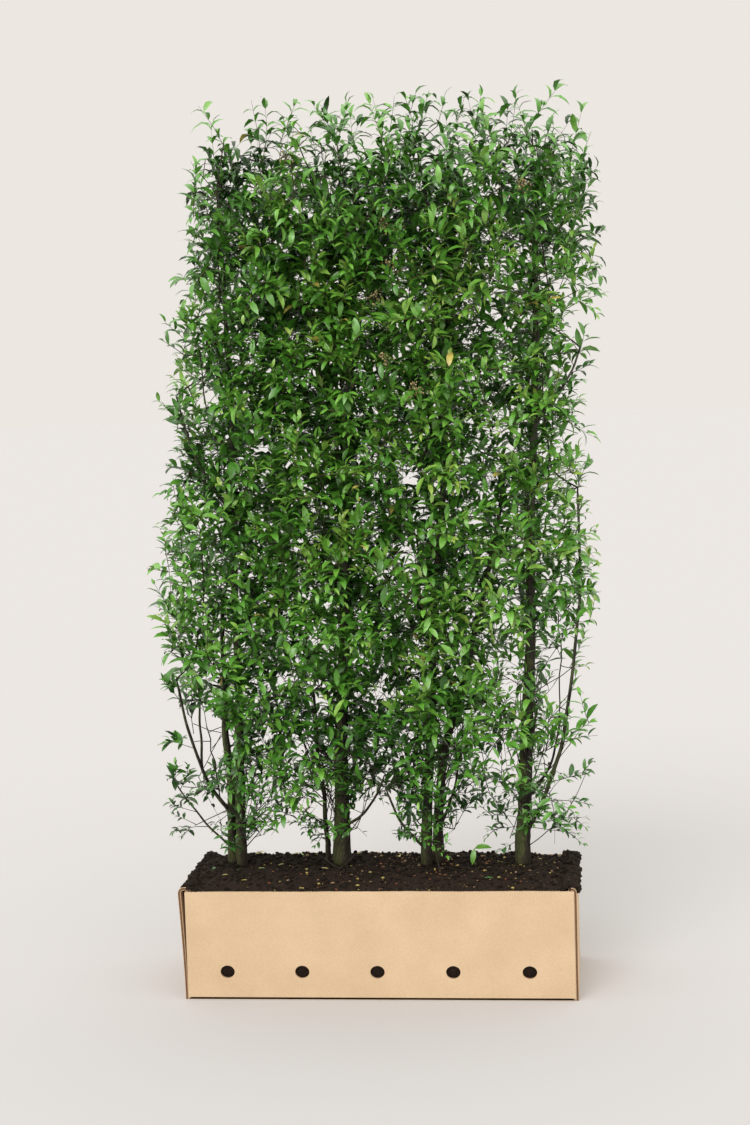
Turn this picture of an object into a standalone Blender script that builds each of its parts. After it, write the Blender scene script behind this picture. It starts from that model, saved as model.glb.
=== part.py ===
"""Ready-made privet hedge: four privets in a row, grown flat, standing in an open cardboard tray of soil.

Every stem, bough and mass of foliage is an object of its own, and so are the tray, its two ends and the soil.
Metres, +Z up, +X along the row and -Y to the front. The origin is the middle of the tray's underside.
"""

import math
import random

import bmesh
import bpy
from mathutils import Quaternion, Vector
from mathutils.bvhtree import BVHTree
from mathutils.geometry import interpolate_bezier

# Clearances
TOUCH = 0.0003
ROOT_CLEARANCE = 0.0004
LIMB_CLEARANCE = 0.0012
SPACE_CLEARANCE = 0.001

# Tray
TRAY_LENGTH = 1.0
TRAY_DEPTH = 0.38
TRAY_HEIGHT = 0.28
BOARD = 0.007
TAB_REACH = 0.12
VENT_COUNT = 5
VENT_PITCH = 0.192
VENT_SHIFT = -0.005
VENT_HEIGHT = 0.072
VENT_WIDTH = 0.037
VENT_TALL = 0.033
VENT_SIDES = 14
END_FLARE = {-1: 0.010, 1: 0.0}
END_ROLL_RISE = {-1: 0.004, 1: 0.001}

# Soil
SOIL_RIM = 0.274
SOIL_MOUND = 0.030
SOIL_MOUND_POWER = 4
SOIL_LUMP = 0.007
SOIL_LUMP_POWER = 8
SOIL_CELL = 0.040
SEAT_LEVEL = 0.302
SEAT_RADIUS = 0.075

# The waves whose sum breaks up the soil: turns a metre along X and along Y in radians, and where each starts
SOIL_WAVES = ((31.0, 17.0, 0.3), (-13.0, 43.0, 1.9), (57.0, -29.0, 4.1), (9.0, 71.0, 2.7))

# Limbs: how a stem widens at its foot, how many rings and sides a limb has, and how its line wanders
FLARE = 0.45
FLARE_HEIGHT = 0.035
FLARE_RINGS = (0.0, 0.6, 1.6)
STEM_TAPER_POWER = 0.8
STEM_SIDES = 8
STEM_RINGS = 12
BOUGH_SIDES = 6
BOUGH_RINGS = 6
SWAY = 0.004
SWAY_TURNS = 2.5
SWAY_SKEW = 1.3
STEM_PHASE = 40
BOUGH_PHASE = 50
ALONG_LIMIT = 0.95

# Leaves
LEAF_LENGTH = 0.145
LEAF_WIDTH = 0.082
LEAF_THICKNESS = 0.0022
LEAF_WIDEST = 0.45
LEAF_BOW = 0.06
LEAF_SHRINK = 0.4
LEAF_VARIATION = 0.1
LEAF_TILT = 0.28
LEAF_DROOP = 0.4
LEAF_TRIES = 40
LEAF_SKIP = 0.012
CROSSING_FROM = 0.7
FACE_TILT = 0.32
SIDE_TURN = 1.15
TURN_STRAY = 0.25

# Twigs
TWIG_SIDES = 3
TWIG_RADIUS = 0.0034
TWIG_TAPER = 0.75
TWIG_LEAST = 0.0015
ROOT_TAPER = 0.9
BRANCH_TAPER = 0.72
BRANCH_PARTS = (0.3, 0.6, 0.85)
NODE_LENGTH = 0.004
NODE_MARGIN = 0.05
SHORTEST_TWIG = 0.02

# The stem of a mass, and how its sprays are spread
STEM_STOP = 0.11
STEM_LEAN = 0.6
STEM_RISE = 0.05
STEM_ROOT_HEIGHT = 0.22
ROOT_RUN = 0.016
PROBE_REACH = 0.1
ROUTE_STRAY = 0.02
ROUTE_STRAY_GROWTH = 0.06
ROUTE_TRIES = 12
TARGET_TRIES = 30
DEPTH_WEIGHT = 0.35
SPRAYS = 8
MASS_TRIES = 6
ROUTE_SEED = 100
RETRY_SEED = 400

# Crown: where its two ends stand at each height, and how deep it is
CROWN_FOOT = 0.35
CROWN_TOP = 2.268
CROWN_LEFT = ((0.35, -0.560), (1.20, -0.572), (1.70, -0.520), (2.27, -0.405))
CROWN_RIGHT = ((0.35, 0.530), (1.00, 0.570), (1.90, 0.606), (2.27, 0.560))
CROWN_HALF_DEPTH = 0.20
CROWN_FOOT_HALF_DEPTH = 0.15
CROWN_FULL_FROM = 0.75
CORNER_POWER = 8
CORNER_CUT = 0.45

# A stem: its foot on the soil (x, y), the two handles and the tip of its centre line, and its two radii
STEMS = {
    "stem_1": (
        (-0.374, -0.010), (-0.372, 0.002, 0.90), (-0.352, -0.002, 1.50), (-0.372, 0.000, 2.12), 0.0130, 0.0040,
    ),
    "stem_1_left": (
        (-0.402, 0.024), (-0.398, 0.024, 0.52), (-0.420, 0.020, 0.72), (-0.407, 0.030, 0.99), 0.0135, 0.0050,
    ),
    "stem_2": (
        (-0.111, 0.002), (-0.098, 0.004, 0.86), (-0.062, -0.004, 1.40), (-0.020, 0.000, 2.08), 0.0205, 0.0040,
    ),
    "stem_2_side": (
        (-0.150, 0.020), (-0.146, 0.024, 0.42), (-0.172, 0.030, 0.55), (-0.176, 0.036, 0.74), 0.0065, 0.0035,
    ),
    "stem_3": (
        (0.112, -0.012), (0.130, -0.008, 0.85), (0.190, 0.002, 1.30), (0.232, 0.000, 2.06), 0.0135, 0.0040,
    ),
    "stem_3_right": (
        (0.141, 0.020), (0.120, 0.042, 0.62), (0.260, 0.040, 0.80), (0.338, 0.030, 1.32), 0.0130, 0.0045,
    ),
    "stem_4": (
        (0.361, 0.000), (0.390, 0.002, 0.85), (0.408, -0.004, 1.20), (0.437, 0.000, 2.05), 0.0180, 0.0045,
    ),
}

# A bough: the limb that carries it and the height where it leaves, two handles and the tip, and its two radii
BOUGHS = {
    "bough_1_outer": (
        ("stem_1_left", 0.435), (-0.455, -0.010, 0.492), (-0.490, -0.040, 0.600), (-0.518, -0.050, 0.790),
        0.0072, 0.0042,
    ),
    "bough_1_middle": (
        ("bough_1_outer", 0.560), (-0.472, 0.000, 0.610), (-0.478, 0.016, 0.680), (-0.480, 0.030, 0.780),
        0.0048, 0.0034,
    ),
    "bough_1_low": (
        ("stem_1_left", 0.335), (-0.455, 0.020, 0.386), (-0.510, 0.016, 0.450), (-0.545, 0.010, 0.515),
        0.0042, 0.0028,
    ),
    "bough_1_upper": (
        ("stem_1", 1.230), (-0.415, -0.014, 1.290), (-0.470, -0.030, 1.380), (-0.490, -0.040, 1.520),
        0.0055, 0.0034,
    ),
    "bough_2_right": (
        ("stem_2", 0.400), (-0.050, -0.030, 0.430), (-0.020, -0.050, 0.462), (0.010, -0.060, 0.540),
        0.0058, 0.0034,
    ),
    "bough_2_top": (
        ("stem_2", 1.240), (-0.110, 0.030, 1.360), (-0.085, 0.044, 1.600), (-0.070, 0.040, 1.860),
        0.0060, 0.0036,
    ),
    "bough_3_left": (
        ("stem_3", 0.345), (0.075, -0.030, 0.385), (0.040, -0.045, 0.420), (0.020, -0.052, 0.500),
        0.0060, 0.0034,
    ),
    "bough_3_right": (
        ("stem_3_right", 0.390), (0.172, 0.036, 0.430), (0.190, 0.050, 0.500), (0.205, 0.060, 0.600),
        0.0058, 0.0034,
    ),
    "bough_4_outer": (
        ("stem_4", 0.365), (0.455, -0.020, 0.480), (0.545, -0.050, 0.860), (0.522, -0.050, 1.260),
        0.0078, 0.0040,
    ),
    "bough_4_low": (
        ("stem_4", 0.470), (0.420, 0.030, 0.505), (0.448, 0.044, 0.560), (0.458, 0.050, 0.640),
        0.0055, 0.0034,
    ),
    "bough_4_upper": (
        ("stem_4", 1.440), (0.470, -0.012, 1.500), (0.505, -0.026, 1.530), (0.530, -0.034, 1.610),
        0.0052, 0.0034,
    ),
    "bough_4_leader": (
        ("stem_4", 0.640), (0.378, 0.042, 0.760), (0.392, 0.052, 1.200), (0.420, 0.040, 1.700),
        0.0100, 0.0042,
    ),
}

# Masses of foliage: the walls between the plants and the heights of the floors, before and behind the stems
FRONT_WALLS = (-0.62, -0.280, -0.005, 0.255, 0.64)
BACK_WALLS = (-0.62, -0.190, 0.075, 0.330, 0.64)
FRONT_FLOORS = (CROWN_FOOT, 0.80, 1.28, 1.76, CROWN_TOP)
BACK_FLOORS = (CROWN_FOOT + 0.05, 0.95, 1.50, CROWN_TOP)
FLOOR_STAGGER = 0.10
MAIN_STEMS = ("stem_1", "stem_2", "stem_3", "stem_4")

# Masses that grow on from the tip of a bough or of a second stem
TIP_CARRIERS = {
    "mass_1_front_2": "bough_1_outer",
    "mass_1_back_1": "bough_1_middle",
    "mass_1_back_2": "stem_1_left",
    "mass_1_front_4": "bough_1_upper",
    "mass_2_front_1": "bough_2_right",
    "mass_2_back_1": "stem_2_side",
    "mass_2_back_3": "bough_2_top",
    "mass_3_front_1": "bough_3_left",
    "mass_3_back_1": "bough_3_right",
    "mass_3_back_2": "stem_3_right",
    "mass_4_front_3": "bough_4_outer",
    "mass_4_back_1": "bough_4_low",
    "mass_4_front_4": "bough_4_upper",
    "mass_4_back_3": "bough_4_leader",
}

# A material: its colour and its roughness
COLOURS = {
    "cardboard": ((0.62, 0.42, 0.23, 1.0), 0.85),
    "soil": ((0.030, 0.020, 0.014, 1.0), 0.95),
    "bark": ((0.16, 0.13, 0.08, 1.0), 0.80),
    "foliage": ((0.045, 0.15, 0.025, 1.0), 0.45),
}


def clear_scene():
    for thing in list(bpy.data.objects):
        bpy.data.objects.remove(thing, do_unlink=True)


def material(name):
    found = bpy.data.materials.get(name)
    if found:
        return found
    colour, roughness = COLOURS[name]
    made = bpy.data.materials.new(name)
    made.use_nodes = True
    shader = made.node_tree.nodes["Principled BSDF"]
    shader.inputs["Base Color"].default_value = colour
    shader.inputs["Roughness"].default_value = roughness
    shader.inputs["Metallic"].default_value = 0.0
    return made


def add_object(name, points, faces, finish):
    mesh = bpy.data.meshes.new(name)
    mesh.from_pydata([tuple(p) for p in points], [], faces)
    mesh.materials.append(material(finish))
    mesh.update()
    thing = bpy.data.objects.new(name, mesh)
    bpy.context.scene.collection.objects.link(thing)
    return thing


def apply_modifiers(thing):
    graph = bpy.context.evaluated_depsgraph_get()
    graph.update()
    result = bpy.data.meshes.new_from_object(thing.evaluated_get(graph), depsgraph=graph)
    thing.modifiers.clear()
    thing.data = result


def boolean(thing, operation, cutter=None, group=None, solver="EXACT"):
    modifier = thing.modifiers.new("cut", "BOOLEAN")
    modifier.operation = operation
    modifier.solver = solver
    if group:
        modifier.operand_type = "COLLECTION"
        modifier.collection = group
    else:
        modifier.object = cutter
    apply_modifiers(thing)


def keep_largest_body(thing):
    """Fills the hollows that a union seals, drops loose scraps, and says whether the body is closed."""
    work = bmesh.new()
    work.from_mesh(thing.data)
    bmesh.ops.triangulate(work, faces=work.faces)
    left = set(work.faces)
    bodies = []
    while left:
        body = []
        ahead = [left.pop()]
        while ahead:
            face = ahead.pop()
            body.append(face)
            for edge in face.edges:
                for other in edge.link_faces:
                    if other in left:
                        left.remove(other)
                        ahead.append(other)
        bodies.append(body)
    bodies.sort(key=len)
    for body in bodies[:-1]:
        bmesh.ops.delete(work, geom=body, context="FACES")
    closed = all(len(edge.link_faces) == 2 for edge in work.edges)
    work.to_mesh(thing.data)
    work.free()
    return closed


def prism(name, outline, axis, low, high, finish):
    """A closed outline drawn out straight along the Y or the Z axis."""
    if axis == "Y":
        ends = [[(x, at, z) for x, z in outline] for at in (low, high)]
    else:
        ends = [[(x, y, at) for x, y in outline] for at in (low, high)]
    count = len(outline)
    faces = [tuple(range(count)), tuple(range(2 * count - 1, count - 1, -1))]
    faces += [(i, i + count, (i + 1) % count + count, (i + 1) % count) for i in range(count)]
    thing = add_object(name, ends[0] + ends[1], faces, finish)
    work = bmesh.new()
    work.from_mesh(thing.data)
    bmesh.ops.recalc_face_normals(work, faces=work.faces)
    work.to_mesh(thing.data)
    work.free()
    return thing


def vent_cutter(centre_x, wall_y):
    """An oval cutter along Y, through one wall."""
    outline = []
    for i in range(VENT_SIDES):
        turn = 2 * math.pi * i / VENT_SIDES
        x = centre_x + VENT_WIDTH / 2 * math.cos(turn)
        outline.append((x, VENT_HEIGHT + VENT_TALL / 2 * math.sin(turn)))
    cutter = prism("vent_cutter", outline, "Y", wall_y - 2 * BOARD, wall_y + 2 * BOARD, "cardboard")
    cutter.hide_render = True
    cutter.display_type = "WIRE"
    return cutter


def make_tray():
    """Base, front and back in one piece, with the four corner tabs folded in behind the ends."""
    outer_x = TRAY_LENGTH / 2 - BOARD - TOUCH
    inner_x = outer_x - BOARD
    outer_y = TRAY_DEPTH / 2
    inner_y = outer_y - BOARD
    tab_y = outer_y - TAB_REACH
    base = [(-outer_x, -outer_y), (outer_x, -outer_y), (outer_x, outer_y), (-outer_x, outer_y)]
    tray = prism("tray", base, "Z", 0.0, BOARD, "cardboard")
    corners = ((outer_x, outer_y), (outer_x, tab_y), (inner_x, tab_y), (inner_x, inner_y))
    for side in (-1, 1):
        plan = [(x, side * y) for x, y in corners] + [(-x, side * y) for x, y in reversed(corners)]
        wall = prism("wall", plan, "Z", BOARD / 2, TRAY_HEIGHT, "cardboard")
        boolean(tray, "UNION", wall)
        bpy.data.objects.remove(wall, do_unlink=True)
    for side in (-1, 1):
        for i in range(VENT_COUNT):
            cutter = vent_cutter((i - (VENT_COUNT - 1) / 2) * VENT_PITCH + VENT_SHIFT, side * outer_y)
            boolean(tray, "DIFFERENCE", cutter)
            bpy.data.objects.remove(cutter, do_unlink=True)
    keep_largest_body(tray)


def make_end(name, side):
    """An end board that stands outside the corner tabs, rolls over them and comes down again inside."""
    flare = END_FLARE[side]
    outer = TRAY_LENGTH / 2
    tab_outer = outer - BOARD - TOUCH
    inner_far = tab_outer - BOARD - TOUCH
    inner_near = inner_far - BOARD
    crest = TRAY_HEIGHT + BOARD + END_ROLL_RISE[side]
    crest_mid = (outer + flare + inner_near) / 2
    over = [
        (outer, 0.0),
        (outer + flare, TRAY_HEIGHT - BOARD),
        (outer + flare - BOARD / 3, TRAY_HEIGHT + BOARD / 2),
        (crest_mid + BOARD, crest),
        (crest_mid - BOARD, crest),
        (inner_near, TRAY_HEIGHT + BOARD / 2),
        (inner_near, TRAY_HEIGHT + TOUCH),
        (tab_outer + flare, TRAY_HEIGHT + TOUCH),
        (tab_outer + TOUCH, TRAY_HEIGHT / 3),
        (tab_outer + TOUCH, 0.0),
    ]
    end = prism(name, [(side * x, z) for x, z in over], "Y", -TRAY_DEPTH / 2, TRAY_DEPTH / 2, "cardboard")
    half_y = TRAY_DEPTH / 2 - BOARD - TOUCH
    inside = [(inner_near, -half_y), (inner_far, -half_y), (inner_far, half_y), (inner_near, half_y)]
    inside = [(side * x, y) for x, y in inside]
    board = prism("inner_board", inside, "Z", BOARD + TOUCH, TRAY_HEIGHT + BOARD / 3, "cardboard")
    boolean(end, "UNION", board)
    bpy.data.objects.remove(board, do_unlink=True)
    keep_largest_body(end)


def lumps(x, y):
    """A fixed sum of waves, from -1 to 1, that breaks up the soil."""
    return sum(math.sin(a * x + b * y + c) for a, b, c in SOIL_WAVES) / len(SOIL_WAVES)


def soil_height(x, y, half_x, half_y):
    """Mounded in the middle, rough all over, and level where a stem stands."""
    edge = max(abs(x) / half_x, abs(y) / half_y)
    mound = SOIL_MOUND * (1 - edge ** SOIL_MOUND_POWER)
    height = SOIL_RIM + mound + SOIL_LUMP * lumps(x, y) * (1 - edge ** SOIL_LUMP_POWER)
    for foot, *_ in STEMS.values():
        away = math.hypot(x - foot[0], y - foot[1])
        blend = min(max((away - SEAT_RADIUS) / SEAT_RADIUS, 0.0), 1.0)
        height = SEAT_LEVEL + (height - SEAT_LEVEL) * blend
    return height


def make_soil():
    """A block that fills the tray between the tabs and the rolled ends, with a rough top."""
    half_x = TRAY_LENGTH / 2 - 3 * BOARD - 3 * TOUCH
    half_y = TRAY_DEPTH / 2 - BOARD - TOUCH
    columns = round(2 * half_x / SOIL_CELL)
    rows = round(2 * half_y / SOIL_CELL)
    work = bmesh.new()
    grid = []
    for i in range(columns + 1):
        line = []
        for j in range(rows + 1):
            x = -half_x + 2 * half_x * i / columns
            y = -half_y + 2 * half_y * j / rows
            line.append(work.verts.new((x, y, soil_height(x, y, half_x, half_y))))
        grid.append(line)
    for i in range(columns):
        for j in range(rows):
            work.faces.new((grid[i][j], grid[i + 1][j], grid[i + 1][j + 1], grid[i][j + 1]))
    rim = [grid[i][0] for i in range(columns)] + [grid[columns][j] for j in range(rows)]
    rim += [grid[i][rows] for i in range(columns, 0, -1)] + [grid[0][j] for j in range(rows, 0, -1)]
    corners = [(-half_x, -half_y), (half_x, -half_y), (half_x, half_y), (-half_x, half_y)]
    base = [work.verts.new((x, y, BOARD + TOUCH)) for x, y in corners]
    starts = [0, columns, columns + rows, 2 * columns + rows, len(rim)]
    for side in range(4):
        near, far = base[side], base[(side + 1) % 4]
        upper = [rim[k % len(rim)] for k in range(starts[side], starts[side + 1] + 1)]
        half = len(upper) // 2
        for k in range(len(upper) - 1):
            work.faces.new((near if k < half else far, upper[k + 1], upper[k]))
        work.faces.new((near, far, upper[half]))
    work.faces.new(base[::-1])
    bmesh.ops.recalc_face_normals(work, faces=work.faces)
    mesh = bpy.data.meshes.new("soil")
    work.to_mesh(mesh)
    work.free()
    mesh.materials.append(material("soil"))
    soil = bpy.data.objects.new("soil", mesh)
    bpy.context.scene.collection.objects.link(soil)


def sway(part, phase):
    """The small wander of a limb's centre line, nothing at its two ends."""
    swing = math.sin(math.pi * part) * SWAY
    turn = 2 * math.pi * SWAY_TURNS * part + phase
    return Vector((swing * math.sin(turn), swing * math.cos(SWAY_SKEW * turn), 0.0))


def centre_line(foot, handles, tip, count, phase):
    """The points of a limb, from a cubic curve through its foot and tip."""
    points = interpolate_bezier(foot, handles[0], handles[1], tip, count)
    return [point + sway(i / (count - 1), phase) for i, point in enumerate(points)]


def line_directions(points, level_foot):
    """Which way a line runs at each of its points."""
    aheads = []
    for i in range(len(points)):
        before = points[max(i - 1, 0)]
        after = points[min(i + 1, len(points) - 1)]
        aheads.append((after - before).normalized())
    if level_foot:
        aheads[0] = Vector((0.0, 0.0, 1.0))
    return aheads


def ring_frames(aheads, side):
    """The two directions that each ring is drawn in, carried from ring to ring without a twist."""
    if abs(aheads[0].dot(side)) > ALONG_LIMIT:
        side = Vector((0.03, 1.0, 0.02))
    side = (side - aheads[0] * side.dot(aheads[0])).normalized()
    frames = []
    last = aheads[0]
    for ahead in aheads:
        side = last.rotation_difference(ahead) @ side
        frames.append((side, ahead.cross(side)))
        last = ahead
    return frames


def tube_mesh(points, radii, sides, level_foot=False, tip_side=None):
    """Rings of points round a line, each square to it, and the faces that join them."""
    aheads = line_directions(points, level_foot)
    if tip_side:
        frames = ring_frames(aheads[::-1], tip_side)[::-1]
    else:
        frames = ring_frames(aheads, Vector((1.0, 0.03, 0.02)))
    count = len(points)
    vertices = []
    for point, radius, (side, up) in zip(points, radii, frames):
        for k in range(sides):
            turn = 2 * math.pi * k / sides
            vertices.append(point + radius * (math.cos(turn) * side + math.sin(turn) * up))
    faces = [tuple(range(sides - 1, -1, -1))]
    for i in range(count - 1):
        for k in range(sides):
            a = i * sides + k
            b = i * sides + (k + 1) % sides
            faces.append((a, b, b + sides, a + sides))
    last = (count - 1) * sides
    faces.append(tuple(range(last, last + sides)))
    return vertices, faces


def stem_spread(height):
    """How many times wider a stem is at a height over its foot, where its roots begin."""
    return 1 + FLARE * math.exp(-height / FLARE_HEIGHT)


def stem_line(name):
    foot, first, second, tip, foot_radius, tip_radius = STEMS[name]
    start = Vector((foot[0], foot[1], SEAT_LEVEL + TOUCH))
    line = centre_line(start, (Vector(first), Vector(second)), Vector(tip), STEM_RINGS, foot[0] * STEM_PHASE)
    flare_rings = [start + Vector((0, 0, FLARE_HEIGHT * step)) for step in FLARE_RINGS]
    points = flare_rings + line[1:]
    radii = []
    for point in points:
        part = (point.z - start.z) / (tip[2] - start.z)
        radius = foot_radius + (tip_radius - foot_radius) * part ** STEM_TAPER_POWER
        radii.append(radius * stem_spread(point.z - start.z))
    return points, radii


def line_at_height(line, height):
    points = line[0]
    for before, after in zip(points, points[1:]):
        if before.z <= height <= after.z:
            return before.lerp(after, (height - before.z) / (after.z - before.z))
    return points[-1]


def bough_line(name, lines):
    (carrier, height), first, second, tip, foot_radius, tip_radius = BOUGHS[name]
    start = line_at_height(lines[carrier], height)
    points = centre_line(start, (Vector(first), Vector(second)), Vector(tip), BOUGH_RINGS, tip[0] * BOUGH_PHASE)
    radii = []
    for i in range(len(points)):
        part = i / (len(points) - 1)
        radii.append(foot_radius + (tip_radius - foot_radius) * part)
    return points, radii


def grown(line, margin):
    """The same line with every radius wider by a margin."""
    return line[0], [radius + margin for radius in line[1]]


def make_limbs():
    """Stems from the soil up, then boughs, each cut clear of the limb that carries it."""
    lines = {}
    for name in STEMS:
        lines[name] = stem_line(name)
        points, faces = tube_mesh(*lines[name], STEM_SIDES, level_foot=True)
        add_object(name, points, faces, "bark")
    for name in BOUGHS:
        lines[name] = bough_line(name, lines)
        points, faces = tube_mesh(*lines[name], BOUGH_SIDES)
        bough = add_object(name, points, faces, "bark")
        carrier = BOUGHS[name][0][0]
        sides = STEM_SIDES if carrier in STEMS else BOUGH_SIDES
        cutter_mesh = tube_mesh(*grown(lines[carrier], TOUCH), sides, level_foot=carrier in STEMS)
        cutter = add_object("carrier_cutter", *cutter_mesh, "bark")
        boolean(bough, "DIFFERENCE", cutter)
        bpy.data.objects.remove(cutter, do_unlink=True)
        keep_largest_body(bough)
    for name in lines:
        for polygon in bpy.data.objects[name].data.polygons:
            polygon.use_smooth = True
    return lines


def between(table, height):
    """Reads a value at a height from a short table of (height, value)."""
    if height <= table[0][0]:
        return table[0][1]
    for (low, first), (high, second) in zip(table, table[1:]):
        if height <= high:
            return first + (second - first) * (height - low) / (high - low)
    return table[-1][1]


def crown_half_depth(x, z):
    """Half of the crown's depth: less near the ground, and less where its two ends round off."""
    left = between(CROWN_LEFT, z)
    right = between(CROWN_RIGHT, z)
    along = 2 * (x - left) / (right - left) - 1
    rise = min(max((z - CROWN_FOOT) / (CROWN_FULL_FROM - CROWN_FOOT), 0.0), 1.0)
    depth = CROWN_FOOT_HALF_DEPTH + (CROWN_HALF_DEPTH - CROWN_FOOT_HALF_DEPTH) * rise
    return depth * (1 - CORNER_CUT * min(abs(along), 1.0) ** CORNER_POWER)


def in_space(point, space):
    """Whether a point is in a mass's own space: its block, and the crown's outline."""
    x, y, z = point
    low, high = space
    for value, least, most in zip(point, low, high):
        if not least + SPACE_CLEARANCE <= value <= most - SPACE_CLEARANCE:
            return False
    if not between(CROWN_LEFT, z) <= x <= between(CROWN_RIGHT, z):
        return False
    return abs(y) <= crown_half_depth(x, z)


def mass_spaces():
    """The block of space of each mass, before and behind the stems, plant by plant and floor by floor."""
    spaces = {}
    rows = (("front", FRONT_WALLS, FRONT_FLOORS), ("back", BACK_WALLS, BACK_FLOORS))
    for row, walls, floors in rows:
        nearest, furthest = (-CROWN_HALF_DEPTH, 0.0) if row == "front" else (0.0, CROWN_HALF_DEPTH)
        for plant in range(len(MAIN_STEMS)):
            step = FLOOR_STAGGER * (plant % 2)
            levels = [floors[0]] + [level + step for level in floors[1:-1]] + [floors[-1]]
            for floor in range(len(levels) - 1):
                low = (walls[plant], nearest - SPACE_CLEARANCE, levels[floor])
                high = (walls[plant + 1], furthest + SPACE_CLEARANCE, levels[floor + 1])
                spaces[f"mass_{plant + 1}_{row}_{floor + 1}"] = (low, high)
    return spaces


def width_at(space, height):
    """The two ends of a space at a height, where its walls or the crown's outline stop it."""
    low, high = space
    return max(low[0], between(CROWN_LEFT, height)), min(high[0], between(CROWN_RIGHT, height))


def mesh_tree(points, faces):
    return BVHTree.FromPolygons([tuple(p) for p in points], faces, epsilon=0.0)


def mass_outward(name):
    return Vector((0, -1, 0)) if "front" in name else Vector((0, 1, 0))


def mass_root(name, space, lines):
    """Where a mass's own stem starts, square to the face of the limb that carries it and just clear of it."""
    carrier = TIP_CARRIERS.get(name)
    if carrier:
        points, radii = lines[carrier]
        ahead = (points[-1] - points[-2]).normalized()
        start = points[-1] + ahead * TOUCH
        radius = min(TWIG_RADIUS, ROOT_TAPER * radii[-1])
        return start, start + ahead * ROOT_RUN, radius
    plant = int(name.split("_")[1])
    carrier = MAIN_STEMS[plant - 1]
    low, high = space
    height = low[2] + STEM_ROOT_HEIGHT * (high[2] - low[2])
    centre = line_at_height(lines[carrier], height)
    outward = mass_outward(name)
    tree = mesh_tree(*tube_mesh(*lines[carrier], STEM_SIDES, level_foot=True))
    place, normal, _, _ = tree.ray_cast(centre + outward * PROBE_REACH, -outward)
    start = place + normal * ROOT_CLEARANCE
    return start, start + normal * ROOT_RUN, TWIG_RADIUS * ROOT_TAPER


def leaf_corners(root, ahead, normal, length, width):
    """The widest ring of a leaf, anticlockwise seen from its tip, and the tip, bowed up and then down."""
    across = normal.cross(ahead).normalized()
    up = ahead.cross(across)
    middle = root + ahead * length * LEAF_WIDEST + up * length * LEAF_BOW
    ring = [
        middle + across * width / 2,
        middle + up * LEAF_THICKNESS / 2,
        middle - across * width / 2,
        middle - up * LEAF_THICKNESS / 2,
    ]
    return ring, root + ahead * length


def leaf_alone(root, ahead, normal, length, width):
    """A leaf as a small closed shape, for testing where it fits."""
    ring, tip = leaf_corners(root, ahead, normal, length, width)
    faces = [(k, (k + 1) % 4, 4) for k in range(4)] + [((k + 1) % 4, k, 5) for k in range(4)]
    return ring + [tip, root], faces


def nearest_turn(base, ring):
    """The start in a ring of four that lies closest, corner for corner, to a base of four."""
    def distance(turn):
        return sum((base[k] - ring[(k + turn) % 4]).length for k in range(4))
    return min(range(4), key=distance)


def spray_mesh(points, radii, normal, end_leaf, side_leaves):
    """A three-sided twig in one closed skin with a leaf at its tip and one on each of its two upper faces."""
    vertices, faces = tube_mesh(points, radii, TWIG_SIDES, tip_side=normal)
    last = (len(points) - 1) * TWIG_SIDES
    node = last - TWIG_SIDES
    if end_leaf:
        faces.pop()
        first = len(vertices)
        ring, tip = leaf_corners(*end_leaf)
        vertices += ring + [tip]
        right, top, left, under = range(first, first + 4)
        a, b, c = last, last + 1, last + 2
        faces += [(a, b, left), (a, left, top), (b, under, left), (b, c, under)]
        faces += [(c, right, under), (c, a, right), (a, top, right)]
        faces += [(first + k, first + (k + 1) % 4, first + 4) for k in range(4)]
    for leaf, k in zip(side_leaves, (2, 0)):
        if not leaf:
            continue
        after = (k + 1) % TWIG_SIDES
        base = [node + k, node + after, last + after, last + k]
        faces.remove(tuple(base))
        ring, tip = leaf_corners(*leaf)
        turn = nearest_turn([vertices[i] for i in base], ring)
        first = len(vertices)
        vertices += ring[turn:] + ring[:turn] + [tip]
        for j in range(4):
            after = (j + 1) % 4
            faces.append((base[j], base[after], first + after, first + j))
            faces.append((first + j, first + after, first + 4))
    return vertices, faces


def apart(point, other):
    """How far apart two points look, seen mostly from the front."""
    away = point - other
    return Vector((away.x, DEPTH_WEIGHT * away.y, away.z)).length


def spread_targets(space, rng, count):
    """Points that fill a space evenly: each is the one of several tries that is furthest from the rest."""
    low, high = space
    deep = NODE_MARGIN / 2
    chosen = []
    while len(chosen) < count:
        best = None
        best_gap = -1.0
        tries = 0
        while tries < TARGET_TRIES:
            z = rng.uniform(low[2] + NODE_MARGIN, high[2] - NODE_MARGIN)
            left, right = width_at(space, z)
            x = rng.uniform(left + NODE_MARGIN, right - NODE_MARGIN)
            point = Vector((x, rng.uniform(low[1] + deep, high[1] - deep), z))
            if not in_space(point, space):
                continue
            tries += 1
            gap = min([apart(point, other) for other in chosen], default=1.0)
            if gap > best_gap:
                best = point
                best_gap = gap
        chosen.append(best)
    return chosen


def fits(mesh, space, trees):
    """Whether a small mesh stays in its space and crosses none of the search trees."""
    points, faces = mesh
    if not all(in_space(point, space) for point in points):
        return False
    own = mesh_tree(points, faces)
    return not any(own.overlap(tree) for tree in trees)


def jitter(rng):
    return Vector([rng.uniform(-1, 1) for _ in range(3)])


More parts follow.
